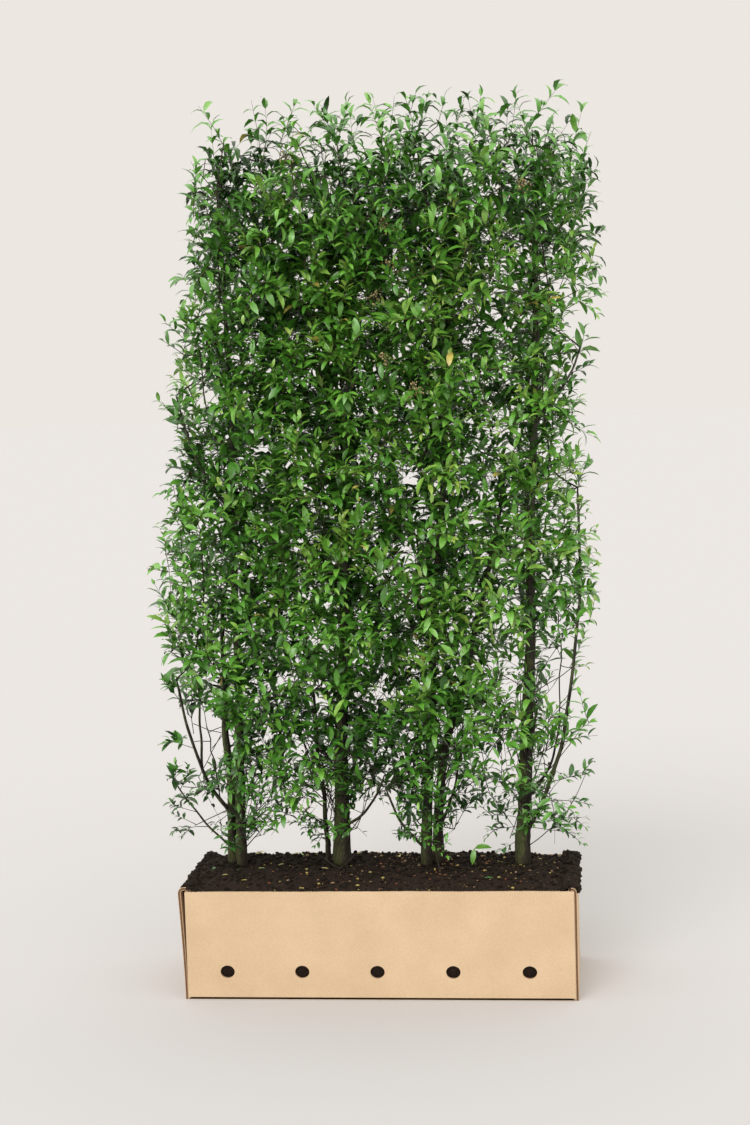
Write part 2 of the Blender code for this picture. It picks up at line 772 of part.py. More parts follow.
def choose_leaf(root, along, normal, turn, space, limbs, placed, rng):
    """A leaf that leaves the twig at a turn from it, tried at several tilts and sizes until it fits.

    It stays in its mass's space and off every limb. Only the last tries let it cross another leaf of the mass.
    """
    for attempt in range(LEAF_TRIES):
        shrink = 1.0 - LEAF_SHRINK * attempt / LEAF_TRIES
        face = (normal + LEAF_TILT * jitter(rng)).normalized()
        stray = TURN_STRAY * (1 + 2 * attempt / LEAF_TRIES)
        ahead = Quaternion(normal, turn + rng.uniform(-stray, stray)) @ along
        ahead = (ahead + LEAF_DROOP * face * rng.uniform(-1, 1)).normalized()
        length = LEAF_LENGTH * shrink * rng.uniform(1 - LEAF_VARIATION, 1 + LEAF_VARIATION)
        width = LEAF_WIDTH * shrink
        trees = [limbs] if attempt > CROSSING_FROM * LEAF_TRIES else [limbs] + placed
        if fits(leaf_alone(root + ahead * LEAF_SKIP, ahead, face, length - LEAF_SKIP, width), space, trees):
            return root, ahead, face, length, width
    return None


def grow_sprays(route, radius, space, outward, obstacles, rng):
    """Sprays that branch from one stem: each reaches for its target from the nearest limb before it."""
    runs = []
    placed = []
    meshes = []
    targets = spread_targets(space, rng, SPRAYS)
    targets.sort(key=lambda point: (point - route[1]).length)
    jobs = [(route, radius)] + [([None, target], None) for target in targets]
    for points, thick in jobs:
        if points[0] is None:
            points, thick = twig_route(points[1], runs, space, obstacles, placed)
            if points is None:
                continue
        tip = points[-1]
        along = (tip - points[-2]).normalized()
        thin = max(thick * TWIG_TAPER, TWIG_LEAST)
        normal = outward + FACE_TILT * jitter(rng)
        normal = (normal - along * normal.dot(along)).normalized()
        node = tip - along * NODE_LENGTH
        leaves = []
        for root, turn in ((tip, 0.0), ((tip + node) / 2, SIDE_TURN), ((tip + node) / 2, -SIDE_TURN)):
            leaf = choose_leaf(root, along, normal, turn, space, obstacles, placed, rng)
            leaves.append(leaf)
            if leaf:
                placed.append(mesh_tree(*leaf_alone(*leaf)))
        line = points[:-1] + [node, tip]
        radii = [thick + (thin - thick) * k / (len(line) - 2) for k in range(len(line) - 1)] + [thin]
        meshes.append(spray_mesh(line, radii, normal, leaves[0], leaves[1:]))
        first = 1 if not runs else 0
        for k in range(first, len(line) - 2):
            runs.append((line[k], line[k + 1], radii[k], radii[k + 1]))
    return meshes


def main_route(start, root_end, radius, space, blocked, rng):
    """The stem of a mass: off its limb, over to the middle of its space and up, clear of every limb."""
    low, high = space
    for attempt in range(ROUTE_TRIES):
        stray = ROUTE_STRAY + ROUTE_STRAY_GROWTH * attempt / ROUTE_TRIES
        top = high[2] - STEM_STOP
        middle = sum(width_at(space, top)) / 2
        crest = Vector((middle + rng.uniform(-stray, stray), (low[1] + high[1]) / 2, top))
        aside = Vector((crest.x, crest.y + rng.uniform(-stray, stray), root_end.z))
        bend = root_end.lerp(aside, STEM_LEAN) + Vector((0, 0, STEM_RISE))
        half = bend.lerp(crest, 0.5) + Vector((rng.uniform(-stray, stray) / 2, 0, 0))
        points = [start, root_end, bend, half, crest]
        tree = mesh_tree(*tube_mesh(points[1:], [radius] * (len(points) - 1), TWIG_SIDES))
        if not tree.overlap(blocked):
            return points
    raise ValueError("a mass's stem finds no clear way")


def twig_route(target, runs, space, obstacles, placed):
    """A straight twig to its target from the nearest place along the limbs before it, clear of the stems."""
    options = []
    for a, b, thick_a, thick_b in runs:
        for part in BRANCH_PARTS:
            place = a.lerp(b, part)
            thick = thick_a + (thick_b - thick_a) * part
            options.append(((place - target).length, place, thick * BRANCH_TAPER))
    options.sort(key=lambda option: option[0])
    for distance, place, thick in options[:ROUTE_TRIES]:
        if distance < SHORTEST_TWIG:
            continue
        thick = max(thick, TWIG_LEAST)
        twig = tube_mesh([place, target], [thick, thick], TWIG_SIDES)
        if fits(twig, space, [obstacles] + placed):
            return [place, target], thick
    return None, None


def join_pieces(name, meshes):
    """One body from many closed pieces, by one union, and whether every edge of it has just two faces.

    The MANIFOLD solver leaves less than half of the faces that EXACT cuts the twigs into.
    """
    joined = add_object(name, *meshes[0], "foliage")
    group = bpy.data.collections.new(name + "_pieces")
    bpy.context.scene.collection.children.link(group)
    for mesh in meshes[1:]:
        piece = add_object("piece", *mesh, "foliage")
        bpy.context.scene.collection.objects.unlink(piece)
        group.objects.link(piece)
    boolean(joined, "UNION", group=group, solver="MANIFOLD")
    for piece in list(group.objects):
        bpy.data.objects.remove(piece, do_unlink=True)
    bpy.data.collections.remove(group)
    return joined, keep_largest_body(joined)


def make_mass(name, seed, space, route, radius, obstacles):
    """A stem, its twigs and its leaves in one body, grown again from another seed if it doesn't close."""
    for attempt in range(MASS_TRIES):
        rng = random.Random(seed + RETRY_SEED * attempt)
        meshes = grow_sprays(route, radius, space, mass_outward(name), obstacles, rng)
        mass, closed = join_pieces(name, meshes)
        if closed:
            return
        bpy.data.objects.remove(mass, do_unlink=True)
    raise ValueError(name + " doesn't close")


def joined_tree(tubes):
    """One search tree for many tubes."""
    points = []
    faces = []
    for some_points, some_faces in tubes:
        offset = len(points)
        points += some_points
        faces += [tuple(k + offset for k in face) for face in some_faces]
    return mesh_tree(points, faces)


def make_masses(lines):
    """Every mass's stem is laid first, so that the twigs and leaves of each keep clear of them all."""
    spaces = mass_spaces()
    limbs = [tube_mesh(*grown(line, LIMB_CLEARANCE), STEM_SIDES) for line in lines.values()]
    routes = {}
    for seed, name in enumerate(spaces):
        start, root_end, radius = mass_root(name, spaces[name], lines)
        blocked = joined_tree(limbs + [tube for _, _, tube in routes.values()])
        rng = random.Random(ROUTE_SEED + seed)
        route = main_route(start, root_end, radius, spaces[name], blocked, rng)
        thick = [radius + LIMB_CLEARANCE] * len(route)
        routes[name] = (route, radius, tube_mesh(route, thick, TWIG_SIDES))
    for seed, name in enumerate(spaces):
        others = [tube for other, (_, _, tube) in routes.items() if other != name]
        route, radius, _ = routes[name]
        make_mass(name, seed, spaces[name], route, radius, joined_tree(limbs + others))


def main():
    clear_scene()
    make_tray()
    make_end("tray_end_left", -1)
    make_end("tray_end_right", 1)
    make_soil()
    lines = make_limbs()
    make_masses(lines)


main()
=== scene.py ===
"""Looks for the privet hedge in its cardboard tray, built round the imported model.

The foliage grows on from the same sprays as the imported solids, by the source's own rule, which is written
again below. Metres, +Z up, +X along the row and -Y to the front.
"""

import math
import random
from itertools import combinations

import bmesh
import bpy
import numpy as np
from mathutils import Matrix, Quaternion, Vector, noise
from mathutils.bvhtree import BVHTree
from mathutils.geometry import interpolate_bezier
from mathutils.kdtree import KDTree


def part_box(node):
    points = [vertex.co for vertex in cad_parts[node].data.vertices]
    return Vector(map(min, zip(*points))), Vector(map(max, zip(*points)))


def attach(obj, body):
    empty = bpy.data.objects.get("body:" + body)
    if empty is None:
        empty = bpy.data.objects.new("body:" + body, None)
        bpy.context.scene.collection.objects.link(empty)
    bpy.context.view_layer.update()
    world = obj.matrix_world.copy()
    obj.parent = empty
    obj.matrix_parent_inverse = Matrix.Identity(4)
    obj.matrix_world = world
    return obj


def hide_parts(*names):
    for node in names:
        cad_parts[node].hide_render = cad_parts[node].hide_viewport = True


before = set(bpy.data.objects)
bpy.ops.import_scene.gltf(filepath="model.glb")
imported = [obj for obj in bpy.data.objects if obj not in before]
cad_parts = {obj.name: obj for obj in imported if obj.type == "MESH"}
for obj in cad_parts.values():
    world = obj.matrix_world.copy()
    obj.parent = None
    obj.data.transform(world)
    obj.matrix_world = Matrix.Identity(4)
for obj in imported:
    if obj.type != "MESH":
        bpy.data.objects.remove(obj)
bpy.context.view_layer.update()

# Camera: its place, its three turns in degrees and its focal length in pixels of the 750 by 1125 picture
CAMERA_PLACE = (0.572, -5.054, 1.587)
CAMERA_YAW = 6.46
CAMERA_PITCH = 5.55
CAMERA_ROLL = -1.79
CAMERA_FOCAL = 1989.0
PICTURE_TALL = 1125
FILM_SIDE = 36.0
CAMERA_SIGHT = 200.0

# Clearances
TOUCH = 0.0003
ROOT_CLEARANCE = 0.0004
LIMB_CLEARANCE = 0.0012
SPACE_CLEARANCE = 0.001

# Limbs: how a stem widens at its foot, how many rings and sides a limb has, and how its line wanders
FLARE = 0.45
FLARE_HEIGHT = 0.035
FLARE_RINGS = (0.0, 0.6, 1.6)
STEM_TAPER_POWER = 0.8
STEM_SIDES = 8
STEM_RINGS = 12
BOUGH_RINGS = 6
SWAY = 0.004
SWAY_TURNS = 2.5
SWAY_SKEW = 1.3
STEM_PHASE = 40
BOUGH_PHASE = 50
ALONG_LIMIT = 0.95

# Leaves
LEAF_LENGTH = 0.145
LEAF_WIDTH = 0.082
LEAF_THICKNESS = 0.0022
LEAF_WIDEST = 0.45
LEAF_BOW = 0.06
LEAF_SHRINK = 0.4
LEAF_VARIATION = 0.1
LEAF_TILT = 0.28
LEAF_DROOP = 0.4
LEAF_TRIES = 40
LEAF_SKIP = 0.012
CROSSING_FROM = 0.7
FACE_TILT = 0.32
SIDE_TURN = 1.15
TURN_STRAY = 0.25

# Twigs
TWIG_SIDES = 3
TWIG_RADIUS = 0.0034
TWIG_TAPER = 0.75
TWIG_LEAST = 0.0015
ROOT_TAPER = 0.9
BRANCH_TAPER = 0.72
BRANCH_PARTS = (0.3, 0.6, 0.85)
NODE_LENGTH = 0.004
NODE_MARGIN = 0.05
SHORTEST_TWIG = 0.02

# The stem of a mass, and how its sprays are spread
STEM_STOP = 0.11
STEM_LEAN = 0.6
STEM_RISE = 0.05
STEM_ROOT_HEIGHT = 0.22
ROOT_RUN = 0.016
PROBE_REACH = 0.1
ROUTE_STRAY = 0.02
ROUTE_STRAY_GROWTH = 0.06
ROUTE_TRIES = 12
TARGET_TRIES = 30
DEPTH_WEIGHT = 0.35
SPRAYS = 8
ROUTE_SEED = 100
RETRY_SEED = 400

# Crown: where its two ends stand at each height, and how deep it is
CROWN_FOOT = 0.35
CROWN_TOP = 2.268
CROWN_LEFT = ((0.35, -0.560), (1.20, -0.572), (1.70, -0.520), (2.27, -0.405))
CROWN_RIGHT = ((0.35, 0.530), (1.00, 0.570), (1.90, 0.606), (2.27, 0.560))
CROWN_HALF_DEPTH = 0.20
CROWN_FOOT_HALF_DEPTH = 0.15
CROWN_FULL_FROM = 0.75
CORNER_POWER = 8
CORNER_CUT = 0.45

# A stem: its foot on the soil (x, y), the two handles and the tip of its centre line, and its two radii
STEMS = {
    "stem_1": (
        (-0.374, -0.010), (-0.372, 0.002, 0.90), (-0.352, -0.002, 1.50), (-0.372, 0.000, 2.12), 0.0130, 0.0040,
    ),
    "stem_1_left": (
        (-0.402, 0.024), (-0.398, 0.024, 0.52), (-0.420, 0.020, 0.72), (-0.407, 0.030, 0.99), 0.0135, 0.0050,
    ),
    "stem_2": (
        (-0.111, 0.002), (-0.098, 0.004, 0.86), (-0.062, -0.004, 1.40), (-0.020, 0.000, 2.08), 0.0205, 0.0040,
    ),
    "stem_2_side": (
        (-0.150, 0.020), (-0.146, 0.024, 0.42), (-0.172, 0.030, 0.55), (-0.176, 0.036, 0.74), 0.0065, 0.0035,
    ),
    "stem_3": (
        (0.112, -0.012), (0.130, -0.008, 0.85), (0.190, 0.002, 1.30), (0.232, 0.000, 2.06), 0.0135, 0.0040,
    ),
    "stem_3_right": (
        (0.141, 0.020), (0.120, 0.042, 0.62), (0.260, 0.040, 0.80), (0.338, 0.030, 1.32), 0.0130, 0.0045,
    ),
    "stem_4": (
        (0.361, 0.000), (0.390, 0.002, 0.85), (0.408, -0.004, 1.20), (0.437, 0.000, 2.05), 0.0180, 0.0045,
    ),
}

# A bough: the limb that carries it and the height where it leaves, two handles and the tip, and its two radii
BOUGHS = {
    "bough_1_outer": (
        ("stem_1_left", 0.435), (-0.455, -0.010, 0.492), (-0.490, -0.040, 0.600), (-0.518, -0.050, 0.790),
        0.0072, 0.0042,
    ),
    "bough_1_middle": (
        ("bough_1_outer", 0.560), (-0.472, 0.000, 0.610), (-0.478, 0.016, 0.680), (-0.480, 0.030, 0.780),
        0.0048, 0.0034,
    ),
    "bough_1_low": (
        ("stem_1_left", 0.335), (-0.455, 0.020, 0.386), (-0.510, 0.016, 0.450), (-0.545, 0.010, 0.515),
        0.0042, 0.0028,
    ),
    "bough_1_upper": (
        ("stem_1", 1.230), (-0.415, -0.014, 1.290), (-0.470, -0.030, 1.380), (-0.490, -0.040, 1.520),
        0.0055, 0.0034,
    ),
    "bough_2_right": (
        ("stem_2", 0.400), (-0.050, -0.030, 0.430), (-0.020, -0.050, 0.462), (0.010, -0.060, 0.540),
        0.0058, 0.0034,
    ),
    "bough_2_top": (
        ("stem_2", 1.240), (-0.110, 0.030, 1.360), (-0.085, 0.044, 1.600), (-0.070, 0.040, 1.860),
        0.0060, 0.0036,
    ),
    "bough_3_left": (
        ("stem_3", 0.345), (0.075, -0.030, 0.385), (0.040, -0.045, 0.420), (0.020, -0.052, 0.500),
        0.0060, 0.0034,
    ),
    "bough_3_right": (
        ("stem_3_right", 0.390), (0.172, 0.036, 0.430), (0.190, 0.050, 0.500), (0.205, 0.060, 0.600),
        0.0058, 0.0034,
    ),
    "bough_4_outer": (
        ("stem_4", 0.365), (0.455, -0.020, 0.480), (0.545, -0.050, 0.860), (0.522, -0.050, 1.260),
        0.0078, 0.0040,
    ),
    "bough_4_low": (
        ("stem_4", 0.470), (0.420, 0.030, 0.505), (0.448, 0.044, 0.560), (0.458, 0.050, 0.640),
        0.0055, 0.0034,
    ),
    "bough_4_upper": (
        ("stem_4", 1.440), (0.470, -0.012, 1.500), (0.505, -0.026, 1.530), (0.530, -0.034, 1.610),
        0.0052, 0.0034,
    ),
    "bough_4_leader": (
        ("stem_4", 0.640), (0.378, 0.042, 0.760), (0.392, 0.052, 1.200), (0.420, 0.040, 1.700),
        0.0100, 0.0042,
    ),
}

# Masses of foliage: the walls between the plants and the heights of the floors, before and behind the stems
FRONT_WALLS = (-0.62, -0.280, -0.005, 0.255, 0.64)
BACK_WALLS = (-0.62, -0.190, 0.075, 0.330, 0.64)
FRONT_FLOORS = (CROWN_FOOT, 0.80, 1.28, 1.76, CROWN_TOP)
BACK_FLOORS = (CROWN_FOOT + 0.05, 0.95, 1.50, CROWN_TOP)
FLOOR_STAGGER = 0.10
MAIN_STEMS = ("stem_1", "stem_2", "stem_3", "stem_4")

# Masses that grow on from the tip of a bough or of a second stem
TIP_CARRIERS = {
    "mass_1_front_2": "bough_1_outer",
    "mass_1_back_1": "bough_1_middle",
    "mass_1_back_2": "stem_1_left",
    "mass_1_front_4": "bough_1_upper",
    "mass_2_front_1": "bough_2_right",
    "mass_2_back_1": "stem_2_side",
    "mass_2_back_3": "bough_2_top",
    "mass_3_front_1": "bough_3_left",
    "mass_3_back_1": "bough_3_right",
    "mass_3_back_2": "stem_3_right",
    "mass_4_front_3": "bough_4_outer",
    "mass_4_back_1": "bough_4_low",
    "mass_4_front_4": "bough_4_upper",
    "mass_4_back_3": "bough_4_leader",
}

# Soil
SOIL_RIM = 0.274
SOIL_MOUND = 0.030
SOIL_MOUND_POWER = 4
SOIL_LUMP = 0.007
SOIL_LUMP_POWER = 8
SEAT_LEVEL = 0.302
SEAT_RADIUS = 0.075

# The waves whose sum breaks up the soil: turns a metre along X and along Y in radians, and where each starts
SOIL_WAVES = ((31.0, 17.0, 0.3), (-13.0, 43.0, 1.9), (57.0, -29.0, 4.1), (9.0, 71.0, 2.7))

# Tray
TRAY_LENGTH = 1.0
TRAY_DEPTH = 0.38
TRAY_HEIGHT = 0.28
BOARD = 0.007
LINER = 0.0009
TAB_REACH = 0.12
VENT_X = (-0.389, -0.197, -0.005, 0.187, 0.379)
VENT_HEIGHT = 0.072
VENT_WIDTH = 0.037
VENT_TALL = 0.033
VENT_SIDES = 48
FLUTE = 0.0078
END_FLARE = {-1: 0.010, 1: 0.0}
END_ROLL_RISE = {-1: 0.004, 1: 0.001}

# Masses whose body closed only on a later attempt, and how many came before it
LATER_TRIES = {
    "mass_1_front_2": 1,
    "mass_1_front_4": 2,
    "mass_2_back_2": 2,
    "mass_3_back_2": 1,
    "mass_3_back_3": 1,
    "mass_4_back_2": 1,
}

UP = Vector((0.0, 0.0, 1.0))

# The real leaves: gap between pairs, length, width for the length, arch, and each station's place and width
PAIR_GAP = (0.018, 0.026)
REAL_LEAF = (0.029, 0.056)
LEAF_RATIO = (0.30, 0.40)
LEAF_ARCH = (0.16, 0.46)
LEAF_STATIONS = ((0.20, 0.74), (0.50, 1.00), (0.80, 0.66))
LEAF_FOLD = 0.13
LOWEST_LEAF = 0.335

# How a leaf stands on its shoot: its angle off it in radians, how far it levels out, and its stray
LEAF_SPREAD = (0.95, 1.40)
SPREAD_CLOSING = 0.40
END_SPREAD = 0.45
PAIR_FLATNESS = 0.55
PAIR_TURN_STRAY = 0.3
LEAF_STRAY = 0.25
LEVEL_DOWN = 0.62
LEVEL_UP = 0.90
LEAF_LIFT = (-0.12, 0.18)
LEAF_FACING = 0.24
LEAF_LEANING = 0.15
LEAF_ROLL = 0.44
TIP_SHRINK = 0.45

# Where the crown counts as high or low, and what is added there to a shoot's measures, as shares
HIGH_FROM = 1.80
HIGH_RISE = 0.28
LOW_UNDER = 0.60
LOW_DROP = 0.20
HIGH_CHANGES = {
    "gap": 0.20,
    "length": 0.22,
    "width": -0.16,
    "arch": 0.22,
    "tip shrink": -0.20,
    "young": -0.75,
}
LOW_CHANGES = {"gap": -0.20, "length": -0.40}

# Shoots: their tubes, how they wander, and how they stand along a twig or beside each other
SPRIG_RINGS = 4
SPRIG_RADIUS = 0.0011
SPRIG_SIDES = 3
SPRIG_WANDER = 0.06
SPRIG_FACING = 0.4
SIDE_SPRIGS = ((0.12, 0.50), (0.38, 0.46), (0.62, 0.38), (0.86, 0.30))
SIDE_SPREAD = 0.95
SIDE_MISSING = 0.30
SHORT_SPRIG = (0.045, 0.105)
TWIG_SPRIG_GAP = 0.034
STEM_SPRIG_GAP = 0.020
GOLDEN_TURN = 2.4
CLIMB = 0.55
GREEN_FROM = 1.00
TWIG_SHARE = 0.72
TWIG_WAVE = 0.04

# One seed for each step that draws by chance
MASS_SEED = 7000
LEADER_SEED = 8100
BARE_SEED = 8200
HEAD_SEED = 8300
INFILL_SEED = 8400
GAP_SEED = 8500
LOW_SEED = 8600
COVER_SEED = 8700
THINNING_SEED = 31
GROUND_SEED = 9100

# How close a shoot's foot is to what carries it, and how high up twigs without shoots are cut back
DOT_GAP = 0.004
CARRIER_REACH = 0.006
TRIM_FROM = 1.95
TRIM_REACH = 0.008

# Leaf tones, from the deepest green to yellow
TONES = (
    (0.013, 0.052, 0.006),
    (0.030, 0.114, 0.011),
    (0.058, 0.198, 0.018),
    (0.094, 0.280, 0.028),
    (0.140, 0.350, 0.041),
    (0.205, 0.385, 0.058),
    (0.290, 0.425, 0.070),
    (0.520, 0.430, 0.100),
)
YELLOW_TONE = 7
YELLOW_CHANCE = 0.0018

# The usual tone, and by how many tones it is deeper or fresher in each part of the crown, partly as painted
# light and shade
USUAL_TONE = 2.7
DEEPER_HIGH = 0.7
# Painted shade: tones deeper low in the crown
PAINTED_SHADE_LOW = 1.2
# Painted shade: tones deeper inside the crown, near the stems
PAINTED_SHADE_INSIDE = 1.7
# Partly fresher leaves and partly painted light: tones fresher toward the right below 2 m
FRESHER_AND_LIT_RIGHT = 0.7
# Painted light: tones fresher toward the front, where the light falls
PAINTED_LIGHT_FRONT = 0.7
FRESHER_TOP = 0.5
TONE_PATCHES = 0.9
SHOOT_TONE_STRAY = 0.7
LEAF_TONE_STRAY = 0.45
FRESHEST_SHOOT = 5.2
LEADER_TONE = 2.8

# Long shoots that break the outline: the tip of each, its length, its lean to the right, and its bare share
LEADERS = (
    (-0.405, -0.05, 2.255, 0.19, -0.42, 0.20), (-0.372, -0.06, 2.190, 0.14, -0.25, 0.10),
    (-0.430, -0.05, 2.120, 0.12, -0.40, 0.20), (-0.270, -0.05, 2.262, 0.14, -0.10, 0.30),
    (-0.235, -0.05, 2.240, 0.11, 0.20, 0.20), (-0.155, -0.05, 2.262, 0.12, 0.05, 0.25),
    (-0.110, -0.06, 2.240, 0.10, -0.20, 0.10), (-0.026, -0.05, 2.245, 0.11, 0.05, 0.20),
    (0.038, -0.06, 2.250, 0.11, 0.15, 0.15), (0.090, -0.05, 2.258, 0.10, -0.10, 0.10),
    (0.112, -0.06, 2.262, 0.12, -0.05, 0.20), (0.215, -0.05, 2.245, 0.11, 0.35, 0.20),
    (0.265, -0.05, 2.250, 0.12, 0.30, 0.30), (0.305, -0.06, 2.245, 0.10, 0.00, 0.20),
    (0.390, -0.05, 2.240, 0.10, 0.30, 0.15), (0.487, -0.05, 2.250, 0.15, 0.30, 0.30),
    (0.550, -0.05, 2.195, 0.13, 0.35, 0.30), (0.574, -0.06, 2.150, 0.12, 0.30, 0.20),
    (0.582, -0.05, 2.060, 0.12, 0.60, 0.20), (0.607, -0.02, 1.915, 0.10, 1.20, 0.50),
    (0.592, -0.03, 1.752, 0.09, 1.10, 0.30), (0.605, -0.03, 1.335, 0.11, 1.20, 0.50),
    (-0.530, -0.05, 1.680, 0.08, -1.00, 0.20), (-0.575, -0.04, 0.995, 0.09, -1.20, 0.30),
    (-0.548, -0.02, 0.440, 0.08, -1.30, 0.45), (0.560, -0.03, 0.640, 0.09, 1.10, 0.40),
    (0.545, -0.02, 0.455, 0.09, 1.30, 0.45),
)
LEADER_DROOP = -0.02
LEADER_YOUNG = 1.0
TOP_LEADER_FROM = 2.1

# Shoots along the whole top besides: their rise over the dense foliage, spread in depth, reach and lean
TOP_SHOOTS = 38
TOP_RISE = 0.060
TOP_SPREAD = 0.85
TOP_REACH = (0.06, 0.12)
TOP_LEAN = 0.35

# Pale heads of old flowers and seeds
SEED_HEADS = (
    (-0.201, -0.15, 2.118), (0.086, -0.15, 1.898), (0.021, -0.15, 1.720), (0.396, -0.15, 1.980),
    (0.101, -0.16, 1.827), (0.108, -0.17, 1.563), (0.139, -0.17, 1.528), (-0.330, 0.15, 1.900),
    (0.260, 0.16, 1.700), (0.450, 0.15, 1.300), (-0.080, 0.16, 1.420),
)

# Low leafy twigs: the limb that carries each and the height where it leaves, its tip, and the bare share
LOW_SPRAYS = (
    ("bough_1_low", 0.440, (-0.560, -0.020, 0.470), 0.50),
    ("bough_1_low", 0.400, (-0.545, -0.045, 0.400), 0.45),
    ("bough_1_low", 0.470, (-0.500, -0.060, 0.500), 0.10),
    ("bough_1_low", 0.505, (-0.535, -0.040, 0.560), 0.05),
    ("bough_1_low", 0.500, (-0.500, -0.030, 0.555), 0.10),
    ("bough_1_outer", 0.500, (-0.440, -0.060, 0.530), 0.10),
    ("bough_1_outer", 0.620, (-0.540, -0.070, 0.650), 0.30),
    ("bough_1_outer", 0.740, (-0.545, -0.070, 0.800), 0.05),
    ("stem_4", 0.400, (0.280, -0.060, 0.405), 0.35),
    ("stem_4", 0.420, (0.262, -0.070, 0.445), 0.40),
    ("stem_4", 0.370, (0.300, -0.060, 0.350), 0.45),
    ("bough_4_outer", 0.400, (0.500, -0.060, 0.395), 0.30),
    ("bough_4_outer", 0.430, (0.520, -0.050, 0.435), 0.30),
    ("bough_4_outer", 0.410, (0.470, -0.090, 0.440), 0.20),
    ("bough_4_outer", 0.520, (0.540, -0.060, 0.560), 0.25),
    ("stem_3", 0.380, (0.040, -0.080, 0.400), 0.30),
    ("stem_2", 0.390, (-0.180, -0.090, 0.400), 0.35),
    ("stem_2", 0.420, (-0.215, -0.060, 0.430), 0.35),
    ("stem_1", 0.400, (-0.310, -0.090, 0.430), 0.25),
    ("stem_1", 0.345, (-0.390, -0.080, 0.375), 0.25),
)

# Where each low twig's two side shoots leave it, and how long they are beside it
LOW_SIDES_FROM = (0.55, 0.8)
LOW_SIDE_SHARE = 0.35

# How thick the scene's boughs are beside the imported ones
BOUGH_SHARE = 0.74

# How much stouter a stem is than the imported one, how much less its foot flares, and over what heights
STEM_STOUTER = 0.07
STOUTER_HEIGHT = 0.5
FOOT_SLIMMER = 0.33
SLIMMER_HEIGHT = 0.018

# Bark: sides and ring step of stems and boughs, their smoothing, under what height a foot is level, and relief
STEM_DETAIL = (20, 0.006)
BOUGH_DETAIL = (12, 0.008)
SMOOTH_REACH = 3
LEVEL_UNDER = 0.31
BARK_SWELL = 0.07
BARK_RIDGE = 0.09
JOINT_SWELL = 0.07
JOINT_GAP = 0.085
JOINT_PLACE = 0.04
JOINT_SPREAD = 0.00004

# Where leafy shoots begin to cover the stems and boughs
COVERED_FROM = 0.85

# Bare twigs round each stem's foot: where they leave it, their rise, length, radius and steps
BARE_TWIGS = 13
BARE_HEIGHTS = (0.325, 0.62)
BARE_RISE = (0.5, 1.25)
BARE_REACH = (0.10, 0.30)
BARE_RADIUS = 0.0017
BARE_STEPS = 5
BARE_WANDER = 0.16
BARE_CLIMB = 0.05
BARE_TAPER = 0.55

# Their side twigs, as shares of the twig that carries them, and the leafy shoot that some end in
BARE_BRANCHING = 0.6
BARE_SIDE_LENGTH = 0.45
BARE_SIDE_RADIUS = 0.6
LOW_LEAFY_FROM = 0.40
LOW_LEAFINESS = 0.35
LOW_SHOOT = (0.03, 0.07)

# How far a leaf's tip may stand past the crown's outline
CROWN_MARGIN = 0.012

# The dense foliage's outline on the plane through the stems, as the photo's view has it: top and sides
DENSE_TOP = (
    (-0.44, 2.04), (-0.38, 2.07), (-0.29, 2.14), (-0.16, 2.175), (0.10, 2.20), (0.30, 2.19), (0.50, 2.16),
    (0.575, 2.07),
)
DENSE_LEFT = (
    (0.36, -0.46), (0.62, -0.47), (0.75, -0.53), (0.90, -0.558), (1.03, -0.558), (1.17, -0.539),
    (1.27, -0.524), (1.40, -0.50), (1.68, -0.49), (1.80, -0.473), (1.93, -0.45), (2.04, -0.43), (2.27, -0.40),
)
DENSE_RIGHT = (
    (0.39, 0.49), (0.65, 0.50), (0.88, 0.545), (0.985, 0.572), (1.19, 0.538), (1.29, 0.553), (1.54, 0.521),
    (1.64, 0.555), (1.74, 0.575), (2.00, 0.568), (2.10, 0.55), (2.27, 0.50),
)
EDGE_FALL = 0.055
TOP_FALL = 0.10

# The share of sky between the leaves at each height, at four places from left to right
SKY_COLUMNS = (-0.47, -0.28, 0.20, 0.46)
SKY_SHARES = (
    (0.335, 0.96, 0.90, 0.90, 0.96),
    (0.37, 0.70, 0.45, 0.45, 0.75),
    (0.44, 0.40, 0.18, 0.25, 0.45),
    (0.56, 0.22, 0.08, 0.12, 0.34),
    (0.68, 0.20, 0.05, 0.08, 0.30),
    (0.90, 0.11, 0.020, 0.04, 0.30),
    (1.25, 0.15, 0.008, 0.03, 0.26),
    (1.60, 0.20, 0.004, 0.010, 0.18),
    (1.95, 0.20, 0.004, 0.006, 0.08),
    (2.08, 0.28, 0.100, 0.110, 0.16),
    (2.16, 0.72, 0.600, 0.620, 0.56),
)
SKY_CELL = 0.025
SKY_LOW = (-0.70, 0.28)
SKY_CELLS = (57, 84)
LEAF_SHADE = 0.000152
OVERFULL = 1.15

# Shoots that fill thin places: the least lack of leaves, how deep they reach, and how each finds its twig
MOST_INFILL = 9000
LEAST_LACK = 1.5
INFILL_DEPTH = 0.95
INFILL_BELOW = 0.03
INFILL_CHOICES = 6
INFILL_APART = 0.02
INFILL_OVERSHOOT = 1.15
INFILL_SHORTEST = 0.05
INFILL_LEAFY = 0.09

# Small gaps, and from what share on a gap counts as open, and how much of it must stay clear of shoots
SMALL_GAPS = 280
SMALL_GAP_HEIGHTS = (0.75, 2.15)
SMALL_GAP_SIZE = (0.006, 0.012)
SMALL_GAP_SHARE = 0.85
OPEN_SHARE = 0.9
SHOOT_GAP = 0.3

